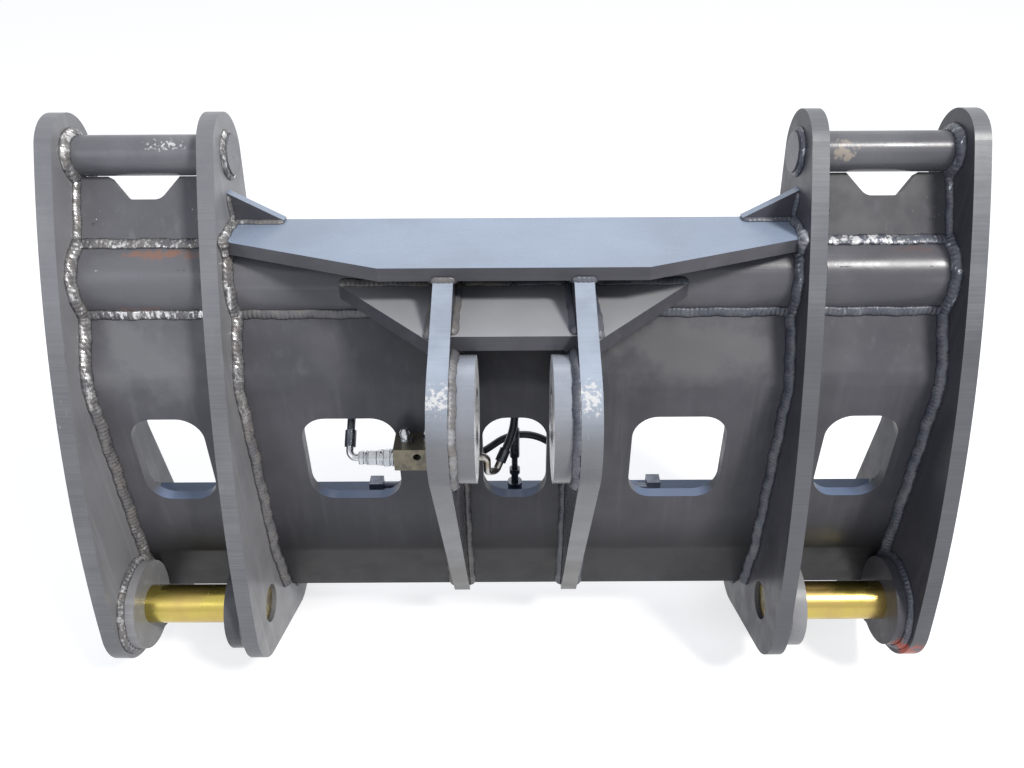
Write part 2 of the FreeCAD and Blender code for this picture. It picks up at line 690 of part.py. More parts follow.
for word, side in SIDES:
    gusset = new_body(f"shelf_gusset_{word}")
    gusset_outline = new_sketch(gusset, "Outline", "XZ_Plane", "-Sizes.shelf_back_y")
    at_plate = f"{side} * Sizes.inner_plate_inside"
    at_tip = f"{side} * (Sizes.inner_plate_inside - Sizes.gusset_length)"
    corners = [Corner(at_tip, "Places.shelf_top_z"), Corner(at_plate, "Places.shelf_top_z"),
               Corner(at_plate, "Places.shelf_top_z + Sizes.gusset_height"),
               Corner(at_tip, "Places.shelf_top_z + Sizes.gusset_end_height")]
    add_outline(gusset_outline, corners if side > 0 else corners[::-1])
    pad(gusset, gusset_outline, "Sizes.gusset_thickness")

# Lower shelf between the ears and its wings outside them, seated against the tube

TUBE_SEAT = ("Sizes.tube_y", "Places.tube_z", "Places.tube_hole")


def seat_on_tube(body):
    seat = new_sketch(body, "TubeSeat", "YZ_Plane")
    add_circle(seat, *TUBE_SEAT)
    cut_through(body, seat)


mid_shelf = block("mid_shelf", ("-Sizes.ear_inside", "Sizes.ear_inside"),
                  ("Sizes.mid_shelf_front_y", "Sizes.tube_y - Sizes.tube_radius / 2"),
                  ("Sizes.mid_shelf_underside_z", "Places.mid_shelf_top_z"))
seat_on_tube(mid_shelf)

for word, side in SIDES:
    wing = new_body(f"shelf_wing_{word}")
    wing_outline = new_sketch(wing, "Outline", "XY_Plane", "Sizes.mid_shelf_underside_z")
    at_ear, at_back = f"{side} * Places.ear_outside", f"{side} * Sizes.wing_back_x"
    back_y = "Sizes.tube_y - Sizes.tube_radius / 2"
    corners = [Corner(at_ear, "Sizes.wing_front_y"), Corner(at_back, "Sizes.tube_y - Sizes.tube_radius"),
               Corner(at_back, back_y), Corner(at_ear, back_y)]
    add_outline(wing_outline, corners if side > 0 else corners[::-1])
    pad(wing, wing_outline, "Sizes.mid_shelf_thickness")
    seat_on_tube(wing)


# Ears of the tilt link with their bosses and bushes

def link_ear(word, side):
    body = new_body(f"link_ear_{word}")
    sketch = new_sketch(body, "Outline", "YZ_Plane")
    add_outline(sketch, [
        Lobe("0", "0", "Sizes.nose_radius"),
        Corner("Places.ear_foot_y", "Places.flange_end_z"),
        Corner("Places.flange_end_y", "Places.flange_end_z"),
        Corner("Sizes.face_y", "Sizes.lower_bend_z"),
        Corner("Sizes.face_y", "Sizes.upper_bend_z"),
        Corner("Places.upper_end_y", "Places.upper_end_z"),
        Corner("Sizes.ear_top_back_y", "Places.tube_z"),
        Corner("Sizes.ear_top_back_y", "Sizes.shelf_underside_z"),
        Corner("Sizes.shelf_front_y", "Sizes.shelf_underside_z"),
    ])
    pad(body, sketch, "Sizes.ear_thickness", symmetric=True)
    seat_on_tube(body)
    bore = new_sketch(body, "Bore", "YZ_Plane")
    add_circle(bore, "0", "0", "Places.bush_outside + Sizes.running_fit")
    cut_through(body, bore)
    place(body, x=f"{side} * (Sizes.ear_inside + Sizes.ear_thickness / 2)")
    return body


for word, side in SIDES:
    link_ear(word, side)
    ring(f"link_boss_{word}", side, "Places.boss_face", "Sizes.ear_inside", "0", "0",
         "Sizes.boss_radius", "Places.bush_outside + Sizes.running_fit")
    ring(f"link_bush_{word}", side, "Places.boss_face", "Places.ear_outside", "0", "0",
         "Places.bush_outside", "Sizes.link_bore_radius")

# Ledge behind the main plate, in three lengths between the side plates

LEDGE_DEPTH = ("Places.face_back_y", "Sizes.ledge_back_y")
LEDGE_HEIGHT = ("Places.ledge_underside_z", "Sizes.ledge_top_z")
ledge = block("ledge_middle", ("-Sizes.inner_plate_inside", "Sizes.inner_plate_inside"),
              LEDGE_DEPTH, LEDGE_HEIGHT)
block("ledge_left", ("-Places.outer_plate_inside", "-Places.inner_plate_outside"), LEDGE_DEPTH, LEDGE_HEIGHT)
block("ledge_right", ("Places.inner_plate_outside", "Places.outer_plate_inside"), LEDGE_DEPTH, LEDGE_HEIGHT)

# Lock pins, the housings that guide them and the cylinders that drive them

for word, side in SIDES:
    ring(f"lock_housing_{word}", side, "Places.housing_x", "Sizes.inner_plate_inside",
         "Sizes.lock_y", "Sizes.lock_z", "Sizes.housing_radius", "Places.lock_hole")
    nose_profile = (("Places.lock_tail_x", "Sizes.lock_pin_radius"),
                    ("Places.lock_nose_x - Sizes.lock_nose_length", "Sizes.lock_pin_radius"),
                    ("Places.lock_nose_x", "Sizes.lock_nose_radius"))
    turned_about_x(f"lock_pin_{word}", side, "Sizes.lock_y", "Sizes.lock_z", nose_profile)
    piston_radius = "Sizes.barrel_bore - Sizes.running_fit"
    rod_profile = (("Places.piston_back_x", piston_radius), ("Places.piston_face_x", piston_radius),
                   ("Places.piston_face_x", "Sizes.rod_radius"), ("Places.lock_tail_x", "Sizes.rod_radius"))
    turned_about_x(f"lock_rod_{word}", side, "Sizes.lock_y", "Sizes.lock_z", rod_profile)


def gland(word, side):
    spigot = "Sizes.barrel_bore - Sizes.seat_gap"
    profile = (("Places.gland_inner_x", spigot), ("Places.barrel_end_x", spigot),
               ("Places.barrel_end_x", "Sizes.barrel_radius"),
               ("Places.gland_face_x", "Sizes.barrel_radius"))
    return turned_about_x(f"lock_gland_{word}", side, "Sizes.lock_y", "Sizes.lock_z", profile,
                          "Sizes.rod_radius + Sizes.running_fit")


def barrel(word, side):
    """Cylinder barrel with a closed cap, a spigot into the anchor and two port bosses."""
    body = new_body(f"lock_barrel_{word}")
    profile = new_sketch(body, "Profile", "XZ_Plane")
    spigot_end = "Sizes.end_gap / 2"
    corners = [
        Corner(f"{side} * {spigot_end}", "0"),
        Corner(f"{side} * {spigot_end}", "Sizes.spigot_radius"),
        Corner(f"{side} * Sizes.anchor_thickness / 2", "Sizes.spigot_radius"),
        Corner(f"{side} * Sizes.anchor_thickness / 2", "Sizes.barrel_radius"),
        Corner(f"{side} * Places.barrel_end_x", "Sizes.barrel_radius"),
        Corner(f"{side} * Places.barrel_end_x", "Sizes.barrel_bore"),
        Corner(f"{side} * Places.chamber_x", "Sizes.barrel_bore"),
        Corner(f"{side} * Places.chamber_x", "0"),
    ]
    add_outline(profile, corners if side < 0 else corners[::-1])
    revolve(body, profile)
    bosses = new_sketch(body, "PortBosses", "XY_Plane", "Sizes.barrel_bore + Sizes.seat_gap")
    add_circle(bosses, f"{side} * Places.cap_port_x", "0", "Sizes.port_boss_radius")
    add_circle(bosses, f"{side} * Places.rod_port_x", "0", "Sizes.port_boss_radius")
    pad(body, bosses, "Sizes.barrel_radius - Sizes.barrel_bore - Sizes.seat_gap + Sizes.port_boss_height")
    place(body, y="Sizes.lock_y", z="Sizes.lock_z")
    return body


for word, side in SIDES:
    gland(word, side)
    barrel(word, side)

anchor = new_body("cylinder_anchor")
anchor_outline = new_sketch(anchor, "Outline", "YZ_Plane")
anchor_top_y = ("Places.face_back_y + (Places.lower_bend_back_z - Sizes.anchor_top_z)"
                " * tan(Sizes.flange_slope)")
add_outline(anchor_outline, [
    Corner(anchor_top_y, "Sizes.anchor_top_z"),
    Corner("Places.flange_back_y", "Places.flange_back_z"),
    Lobe("Sizes.lock_y", "Sizes.lock_z", "Sizes.anchor_lobe_radius"),
])
pad(anchor, anchor_outline, "Sizes.anchor_thickness", symmetric=True)
anchor_hole = new_sketch(anchor, "SpigotHole", "YZ_Plane")
add_circle(anchor_hole, "Sizes.lock_y", "Sizes.lock_z", "Sizes.spigot_radius + Sizes.seat_gap")
cut_through(anchor, anchor_hole)

# Hydraulic block on the front of the main plate, with its cartridges, plug and screws

valve_block = block("valve_block", ("-Places.block_far_x", "-Places.block_near_x"),
                    ("Places.block_front_y", "Sizes.face_y"),
                    ("Places.block_underside_z", "Sizes.block_top_z"))
plug_hole = new_sketch(valve_block, "PlugHole", "XZ_Plane", "-Places.block_front_y")
add_circle(plug_hole, "-Places.block_middle_x", "Places.plug_z", "Sizes.plug_radius + Sizes.seat_gap")
hole_cut = valve_block.newObject("PartDesign::Pocket", "PlugPocket")
hole_cut.Profile = plug_hole
hole_cut.setExpression("Length", "Sizes.plug_depth")
doc.recompute()
screw_holes = new_sketch(valve_block, "ScrewHoles", "XZ_Plane", "-Sizes.face_y")
for sign in ("-", "+"):
    add_circle(screw_holes, f"-Places.block_middle_x {sign} Sizes.screw_pitch / 2",
               "Places.screw_z", "Sizes.screw_radius + Sizes.seat_gap")
screw_cut = valve_block.newObject("PartDesign::Pocket", "ScrewPocket")
screw_cut.Profile = screw_holes
screw_cut.Reversed = True
screw_cut.setExpression("Length", "Sizes.screw_depth + Sizes.seat_gap")
doc.recompute()

plate_holes = new_sketch(middle_plate, "ScrewHoles", "XZ_Plane", "-Sizes.face_y")
for sign in ("-", "+"):
    add_circle(plate_holes, f"-Places.block_middle_x {sign} Sizes.screw_pitch / 2",
               "Places.screw_z", "Sizes.screw_radius + Sizes.seat_gap")
cut_through(middle_plate, plate_holes)

screws = new_body("block_screws")
shanks = new_sketch(screws, "Shanks", "XZ_Plane", "-Sizes.face_y + Sizes.screw_depth")
heads = new_sketch(screws, "Heads", "XZ_Plane", "-Places.face_back_y")
for sign in ("-", "+"):
    x_formula = f"-Places.block_middle_x {sign} Sizes.screw_pitch / 2"
    add_circle(shanks, x_formula, "Places.screw_z", "Sizes.screw_radius")
    add_hexagon(heads, x_formula, "Places.screw_z", "Sizes.screw_radius * 3.2")
screws.AllowCompound = True
shank_pad = pad(screws, shanks, "Sizes.screw_depth + Sizes.main_thickness + Sizes.screw_radius")
shank_pad.Reversed = True
head_pad = pad(screws, heads, "Sizes.screw_radius * 1.3")
head_pad.Reversed = True
doc.recompute()

plug = new_body("block_plug")
plug_sketch = new_sketch(plug, "Outline", "XZ_Plane", "-Places.block_front_y - Sizes.plug_depth")
add_circle(plug_sketch, "-Places.block_middle_x", "Places.plug_z", "Sizes.plug_radius")
pad(plug, plug_sketch, "Sizes.plug_depth * 0.55")
socket = new_sketch(plug, "Socket", "XZ_Plane", "-Places.block_front_y - Sizes.plug_depth * 0.45")
add_hexagon(socket, "-Places.block_middle_x", "Places.plug_z", "Sizes.plug_radius")
socket_cut = plug.newObject("PartDesign::Pocket", "SocketPocket")
socket_cut.Profile = socket
socket_cut.setExpression("Length", "Sizes.plug_depth * 0.3")
doc.recompute()

cartridges = []
for word, sign in (("outer", "-"), ("inner", "+")):
    dome = "Sizes.cartridge_radius"
    base = "Sizes.block_top_z"
    profile = ((base, f"{dome} + 2"), (f"{base} + 8", f"{dome} + 2"), (f"{base} + 8", dome),
               (f"{base} + 19", dome), (f"{base} + 24", f"{dome} * 0.75"), (f"{base} + 26", f"{dome} * 0.4"))
    cartridges.append(turned_about_z(f"cartridge_{word}",
                                     f"-Places.block_middle_x {sign} Sizes.screw_pitch / 2",
                                     "Places.block_middle_y", profile))
grouped("valve_cartridges", cartridges)


def hexagon_on_x(label, start, end, across_flats):
    """Hexagonal adaptor or nut about the line of the block's side ports."""
    body = new_body(label)
    sketch = new_sketch(body, "Outline", "YZ_Plane", start)
    add_hexagon(sketch, "Places.port_y", "Places.port_z", across_flats)
    pad(body, sketch, f"{end} - ({start})")
    return body


left_nut = "-Places.block_far_x - 27"
block_adaptor = hexagon_on_x("block_adaptor", left_nut, "-Places.block_far_x", "Sizes.adaptor_flats")
elbow_nut = hexagon_on_x("elbow_nut", f"{left_nut} - 30", left_nut, "Sizes.adaptor_flats - 5")

left_ear = doc.getObject("link_ear_left")
line_hole = new_sketch(left_ear, "LineHole", "YZ_Plane")
add_circle(line_hole, "Places.port_y", "Places.port_z", "Sizes.line_hole_radius")
cut_through(left_ear, line_hole)
through_profile = (("Sizes.ear_inside - 6", "Sizes.adaptor_flats / 2"),
                   ("Sizes.ear_inside - 2", "Sizes.adaptor_flats / 2"),
                   ("Sizes.ear_inside - 2", "Sizes.adaptor_flats / 2 - 2"),
                   ("Places.block_near_x", "Sizes.adaptor_flats / 2 - 2"))
through_adaptor = turned_about_x("through_adaptor", -1, "Places.port_y", "Places.port_z", through_profile)


# Fittings on the ledge: one through the middle and one near each end of the middle length

def ledge_hole(name, x_formula, y_formula, radius):
    hole = new_sketch(ledge, name, "XY_Plane")
    add_circle(hole, x_formula, y_formula, radius)
    cut_through(ledge, hole)


ledge_hole("RiserHole", "0", "Sizes.riser_y", "Sizes.port_stem_radius + Sizes.seat_gap")
top = "Sizes.ledge_top_z"
stem = "Sizes.port_stem_radius"
turned_about_z("centre_riser", "0", "Sizes.riser_y",
               (("Places.ledge_underside_z - Sizes.tee_height", stem), (top, stem),
                (top, "Sizes.riser_nut_radius"), (f"{top} + 22", "Sizes.riser_nut_radius"),
                (f"{top} + 22", "Sizes.hose_radius"), (f"{top} + 42", "Sizes.hose_radius"),
                (f"{top} + 42", "Sizes.hose_radius + 3"), (f"{top} + 52", "Sizes.hose_radius + 3"),
                (f"{top} + 52", "Sizes.hose_radius - 1"),
                ("Places.riser_top_z", "Sizes.hose_radius - 1")))
sleeve_profile = (("Places.riser_top_z - 45", "Sizes.sleeve_radius"),
                  ("Places.riser_top_z + 14", "Sizes.sleeve_radius"))
ferrules = [turned_about_z("riser_sleeve", "0", "Sizes.riser_y", sleeve_profile,
                           "Sizes.hose_radius + Sizes.seat_gap")]
tee_x = ("-Sizes.tee_half_length", "Sizes.tee_half_length")
tee_y = ("Sizes.riser_y - 14", "Sizes.riser_y + 14")
tee = block("cap_tee_block", tee_x, tee_y,
            ("Places.ledge_underside_z - Sizes.tee_height", "Places.ledge_underside_z"))
tee_hole = new_sketch(tee, "StemHole", "XY_Plane")
add_circle(tee_hole, "0", "Sizes.riser_y", "Sizes.port_stem_radius + Sizes.seat_gap")
cut_through(tee, tee_hole)

port_pieces = {-1: [], 1: []}
for word, side in SIDES:
    ledge_hole(f"PortHole{word.capitalize()}", f"{side} * Sizes.port_block_x", "Sizes.port_block_y",
               "Sizes.port_stem_radius + Sizes.seat_gap")
    port = new_body(f"port_block_{word}")
    half = "Sizes.port_block_size / 2"
    stem_sketch = new_sketch(port, "Stem", "XY_Plane", "Places.ledge_underside_z - Sizes.stem_below")
    add_circle(stem_sketch, "0", "0", "Sizes.port_stem_radius")
    pad(port, stem_sketch, "Sizes.ledge_thickness + Sizes.stem_below + Sizes.port_block_size / 2")
    body_sketch = new_sketch(port, "Block", "XY_Plane", "Sizes.ledge_top_z")
    add_outline(body_sketch, [Corner(f"-{half}", f"-{half}"), Corner(half, f"-{half}"),
                              Corner(half, half), Corner(f"-{half}", half)])
    pad(port, body_sketch, "Sizes.port_block_size")
    place(port, x=f"{side} * Sizes.port_block_x", y="Sizes.port_block_y")
    port_pieces[side].append(port)


# Hoses and pipes: straight runs joined by tangent arcs

def joined_runs(points, fixed_radius=None):
    """Wire of straight runs and tangent arcs through the corner points, and its smallest radius."""
    lengths = [(b - a).Length for a, b in zip(points, points[1:])]
    edges, start, smallest = [], points[0], None
    for i in range(1, len(points) - 1):
        came = (points[i] - points[i - 1]).normalize()
        goes = (points[i + 1] - points[i]).normalize()
        half_turn = math.acos(max(-1.0, min(1.0, came.dot(goes)))) / 2
        radius = fixed_radius or 0.45 * min(lengths[i - 1], lengths[i]) / math.tan(half_turn)
        trim = radius * math.tan(half_turn)
        entry, leaving = points[i] - came * trim, points[i] + goes * trim
        inward = (goes - came).normalize()
        middle = points[i] + inward * (radius / math.cos(half_turn) - radius)
        edges.append(Part.LineSegment(start, entry).toShape())
        edges.append(Part.Arc(entry, middle, leaving).toShape())
        start = leaving
        smallest = radius if smallest is None else min(smallest, radius)
    edges.append(Part.LineSegment(start, points[-1]).toShape())
    return Part.Wire(edges), smallest


def line(label, points, radius, fixed_radius=None):
    """Round hose or pipe along the corner points."""
    wire, smallest = joined_runs(points, fixed_radius)
    direction = (points[1] - points[0]).normalize()
    section = Part.Wire(Part.Circle(points[0], direction, radius).toShape())
    shape = wire.makePipeShell([section], True, True)
    drawn = math.pi * radius ** 2 * wire.Length
    if abs(shape.Volume - drawn) > 0.01 * drawn:
        raise RuntimeError(f"{label}: volume {shape.Volume:.0f} against {drawn:.0f}")
    feature = doc.addObject("Part::Feature", label)
    feature.Shape = shape
    feature.Label = label
    bends = f"{smallest:.0f}" if smallest else "none"
    print(f"{label}: length {wire.Length:.0f} mm, smallest bend {bends} mm")
    return feature


def ferrule(label, base, direction, length, bore):
    """Crimped sleeve about the end of a hose."""
    outer = doc.addObject("Part::Cylinder", label + "_outside")
    inner = doc.addObject("Part::Cylinder", label + "_inside")
    outer.setExpression("Radius", "Sizes.hose_radius + 2.5")
    inner.setExpression("Radius", bore)
    turn = FreeCAD.Rotation(FreeCAD.Vector(0, 0, 1), direction)
    for solid in (outer, inner):
        solid.Height = length
        solid.Placement = FreeCAD.Placement(base, turn)
    cut = doc.addObject("Part::Cut", label)
    cut.Base = outer
    cut.Tool = inner
    cut.Label = label
    inner_pieces.extend((outer.Name, inner.Name))
    ferrules.append(cut)
    doc.recompute()
    return cut


def point(x, y, z):
    return FreeCAD.Vector(x, y, z)


HOSE = value("Sizes.hose_radius")
PIPE = value("Sizes.pipe_radius")
PORT_Y, PORT_Z = value("Places.port_y"), value("Places.port_z")
PLATE_BACK = value("Places.face_back_y")
WINDOW_TOP = value("Sizes.window_top_z")
TUBE_UNDER = value("Places.tube_z") - value("Sizes.tube_radius")
RISER_Y, RISER_TOP = value("Sizes.riser_y"), value("Places.riser_top_z")
LINE_Z = value("Sizes.ledge_top_z") + value("Sizes.port_block_size") / 2
LINE_Y = value("Sizes.port_block_y")
PORT_FACE = value("Sizes.port_block_x") - value("Sizes.port_block_size") / 2
WRAP = "Sizes.hose_radius + Sizes.seat_gap"

# from the left side of the block through the left window and down to the riser
nut_end = -(value("Places.block_far_x") + 57)
elbow_corner = point(nut_end - 15, PORT_Y, PORT_Z)
through_window = point(nut_end - 15, PLATE_BACK + 11, WINDOW_TOP - 4)
rise = (through_window - elbow_corner).normalize()
hose_start = elbow_corner + rise * 18
left_bend_pipe = line("left_bend", [point(nut_end, PORT_Y, PORT_Z), elbow_corner, hose_start], PIPE, 12)
joined("left_fitting", [block_adaptor, elbow_nut, left_bend_pipe])
line("hose_riser", [
    hose_start, through_window,
    point(-240, PLATE_BACK + 38, TUBE_UNDER - 49), point(-150, PLATE_BACK + 58, TUBE_UNDER - 19),
    point(-50, PLATE_BACK + 68, TUBE_UNDER - 19), point(0, RISER_Y - 0.5, TUBE_UNDER - 99),
    point(0, RISER_Y, RISER_TOP)], HOSE)
ferrule("ferrule_left", hose_start, rise, 26, WRAP)

# from the right side of the block through the left ear and the middle window to the joint tee
elbow_start = point(-(value("Sizes.ear_inside") - 6), PORT_Y, PORT_Z)
turn_down = point(-44, PORT_Y, PORT_Z)
turn_in = point(-44, PORT_Y, PORT_Z - 31)
turn_up = point(-30, PORT_Y + 13, PORT_Z - 39)
behind_window = point(0, PLATE_BACK + 1, WINDOW_TOP - 37)
climb = (behind_window - turn_up).normalize()
second_start = turn_up + climb * 16
right_bend_pipe = line("right_bend", [elbow_start, turn_down, turn_in, turn_up, second_start], PIPE, 8)
joined("right_fitting", [through_adaptor, right_bend_pipe])
TEE_X, TEE_Z = 160, LINE_Z + 28
tee_top = point(TEE_X, LINE_Y, TEE_Z + 20.3)
tee_lead = point(TEE_X + 6, LINE_Y - 1, TUBE_UNDER - 189)
line("hose_tee", [
    second_start, behind_window,
    point(2, PLATE_BACK + 29, TUBE_UNDER - 99), point(46, PLATE_BACK + 51, TUBE_UNDER - 47),
    point(110, PLATE_BACK + 63, TUBE_UNDER - 43), point(156, LINE_Y - 5, TUBE_UNDER - 89),
    tee_lead, tee_top], HOSE)
ferrule("ferrule_right", second_start, climb, 22, WRAP)
ferrule("ferrule_tee_top", tee_top, (tee_lead - tee_top).normalize(), 24, WRAP)

# cross hose between the two ledge ports, arching through the middle window
arch = point(10.6, LINE_Y + 23, WINDOW_TOP - 108)
left_foot = point(-82, LINE_Y + 5, WINDOW_TOP - 172)
left_bend = point(-(PORT_FACE - 26), LINE_Y, LINE_Z)
left_rise = (left_foot - left_bend).normalize()
cross_start = left_bend + left_rise * 22
port_pieces[-1].append(line("port_pipe_left", [point(-PORT_FACE, LINE_Y, LINE_Z), left_bend, cross_start],
                            PIPE, 30))
tee_centre = point(TEE_X, LINE_Y, TEE_Z)
fall = (tee_centre - arch).normalize()
cross_end = tee_centre - fall * 20
line("hose_cross", [cross_start, left_foot, arch, cross_end], HOSE)
ferrule("ferrule_cross_left", cross_start, left_rise, 24, WRAP)
ferrule("ferrule_cross_right", cross_end - fall * 24, fall, 24, WRAP)
right_exit = tee_centre + fall * 10
right_bend = right_exit + fall * ((LINE_Z - right_exit.z) / fall.z)
right_end = point(PORT_FACE, right_bend.y, LINE_Z)
port_pieces[1].append(line("port_pipe_right", [right_exit, right_bend, right_end], PIPE, 25))

# joint tee on the right pipe: a ball with two stubs
joint = doc.addObject("Part::Feature", "line_tee")
joint.Shape = Part.makeSphere(12, tee_centre).fuse([
    Part.makeCylinder(PIPE - 1, 20, tee_centre, -fall),
    Part.makeCylinder(PIPE - 1, 20, tee_centre, point(0, 0, 1))])
port_pieces[1].append(joint)
grouped("hose_ferrules", ferrules)

# pipes below the ledge down to the ports of the two cylinders
UNDER = value("Places.ledge_underside_z")
LOCK_Y, PORT_TOP = value("Sizes.lock_y"), value("Places.port_top_z")
CAP_X, ROD_X = value("Places.cap_port_x"), value("Places.rod_port_x")
STEM_END = UNDER - value("Sizes.stem_below")
TEE_MIDDLE = UNDER - value("Sizes.tee_height") / 2


def pipe_nut(label, along):
    """Union nut over the port boss of a cylinder."""
    profile = (("Places.port_top_z", "Sizes.port_boss_radius - 1"),
               ("Places.port_top_z + 14", "Sizes.port_boss_radius - 1"))
    return turned_about_z(label, str(along), "Sizes.lock_y", profile)


cap_pieces = [tee]
for word, side in SIDES:
    cap_pieces.append(line(f"cap_pipe_{word}", [
        point(side * value("Sizes.tee_half_length"), RISER_Y, TEE_MIDDLE),
        point(side * CAP_X, RISER_Y, TEE_MIDDLE),
        point(side * CAP_X, LOCK_Y, TEE_MIDDLE - 50),
        point(side * CAP_X, LOCK_Y, PORT_TOP)], PIPE - 1, 16))
    cap_pieces.append(pipe_nut(f"cap_nut_{word}", side * CAP_X))
    port_pieces[side].append(line(f"rod_pipe_{word}", [
        point(side * value("Sizes.port_block_x"), LINE_Y, STEM_END),
        point(side * value("Sizes.port_block_x"), LINE_Y, STEM_END - 32),
        point(side * ROD_X, LOCK_Y, PORT_TOP + 54),
        point(side * ROD_X, LOCK_Y, PORT_TOP)], PIPE - 1, 18))
    port_pieces[side].append(pipe_nut(f"rod_nut_{word}", side * ROD_X))
    joined(f"ledge_port_{word}", port_pieces[side])
joined("cap_line", cap_pieces)

# Check and write every sub-part

doc.recompute()
faults = [item.Label for item in doc.Objects if "Invalid" in item.State or "Error" in item.State]
if faults:
    raise RuntimeError("not computed: " + ", ".join(faults))

os.makedirs("parts", exist_ok=True)
kinds = ("PartDesign::Body", "Part::Feature", "Part::Cut", "Part::MultiFuse", "Part::Compound")
bodies = [item for item in doc.Objects if item.TypeId in kinds and item.Name not in inner_pieces]
for body in bodies:
    if body.Shape.isNull() or not body.Shape.isValid():
        raise RuntimeError("bad shape: " + body.Label)
for body in bodies:
    body.Shape.exportStep(f"parts/{body.Label}.step")
    print(f"{body.Label}: {body.Shape.Volume / 1000:.1f} cm3, solids {len(body.Shape.Solids)}")
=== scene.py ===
"""Looks of a wheel loader quick coupler: paint, plating, welds, floor, light and camera."""
import logging
import math
import random
from collections.abc import Iterator
from dataclasses import dataclass, replace
from enum import Enum
from functools import cached_property
from typing import ClassVar

import bmesh
import bpy
from mathutils import Matrix, Vector


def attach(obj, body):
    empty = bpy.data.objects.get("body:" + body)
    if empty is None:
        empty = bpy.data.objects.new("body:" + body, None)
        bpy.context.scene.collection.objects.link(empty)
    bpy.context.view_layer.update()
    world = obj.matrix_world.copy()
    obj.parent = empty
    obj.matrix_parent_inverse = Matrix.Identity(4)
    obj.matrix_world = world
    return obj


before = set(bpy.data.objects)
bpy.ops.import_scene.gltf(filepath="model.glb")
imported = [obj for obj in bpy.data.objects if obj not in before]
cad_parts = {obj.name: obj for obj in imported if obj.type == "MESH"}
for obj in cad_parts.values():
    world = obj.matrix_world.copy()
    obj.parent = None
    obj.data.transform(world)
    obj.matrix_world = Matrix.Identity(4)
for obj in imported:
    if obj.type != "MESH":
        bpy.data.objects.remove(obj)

LOG = logging.getLogger("coupler")
MM = 0.001
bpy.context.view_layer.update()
WHOLE = (0.0, 1.0)

Triple = tuple[float, float, float]
Range = tuple[float, float]
Node = bpy.types.Node
Socket = bpy.types.NodeSocket
Inputs = dict[str | int, object]


def at(x: float = 0.0, y: float = 0.0, z: float = 0.0) -> Vector:
    """Point or direction from its parts; points are in millimetres."""
    return Vector((x, y, z))


def scaled(values: Triple, factor: float) -> Triple:
    """Three values times a factor: a darker or lighter colour, or a place in other units."""
    return tuple(value * factor for value in values)


UP, DOWN = at(z=1.0), at(z=-1.0)
FRONT, BACK = at(y=-1.0), at(y=1.0)


class Side(Enum):
    """Which half of the coupler a piece stands on."""

    LEFT = -1
    RIGHT = 1

    @property
    def word(self) -> str:
        """Lower-case word used in node names."""
        return self.name.lower()


class Grain(Enum):
    """Direction in which a surface's marks run, as the scale of its coordinates."""

    NONE = (1.0, 1.0, 1.0)
    ACROSS = (0.02, 1.0, 1.0)
    UPRIGHT = (1.0, 1.0, 0.06)
    DRAWN = (1.0, 1.0, 0.35)


# Finishes


@dataclass(frozen=True)
class Speckle:
    """Noise cut to a range: cycles per metre, octaves, where it starts and ends, and what it gives there."""

    scale: float
    detail: float = 4.0
    span: Range = (0.3, 0.7)
    result: Range = WHOLE
    grain: Grain = Grain.NONE
    roughness: float = 0.55


@dataclass(frozen=True)
class Mark:
    """A stain, heat tint, overspray or patch of painted light or shade on a surface, in millimetres of the
    shared frame.
    """

    centre: Triple
    radii: Triple
    colour: Triple
    strength: float = 0.8
    grain: float = 70.0
    breakup: float = 0.45
    sparseness: float = 0.0


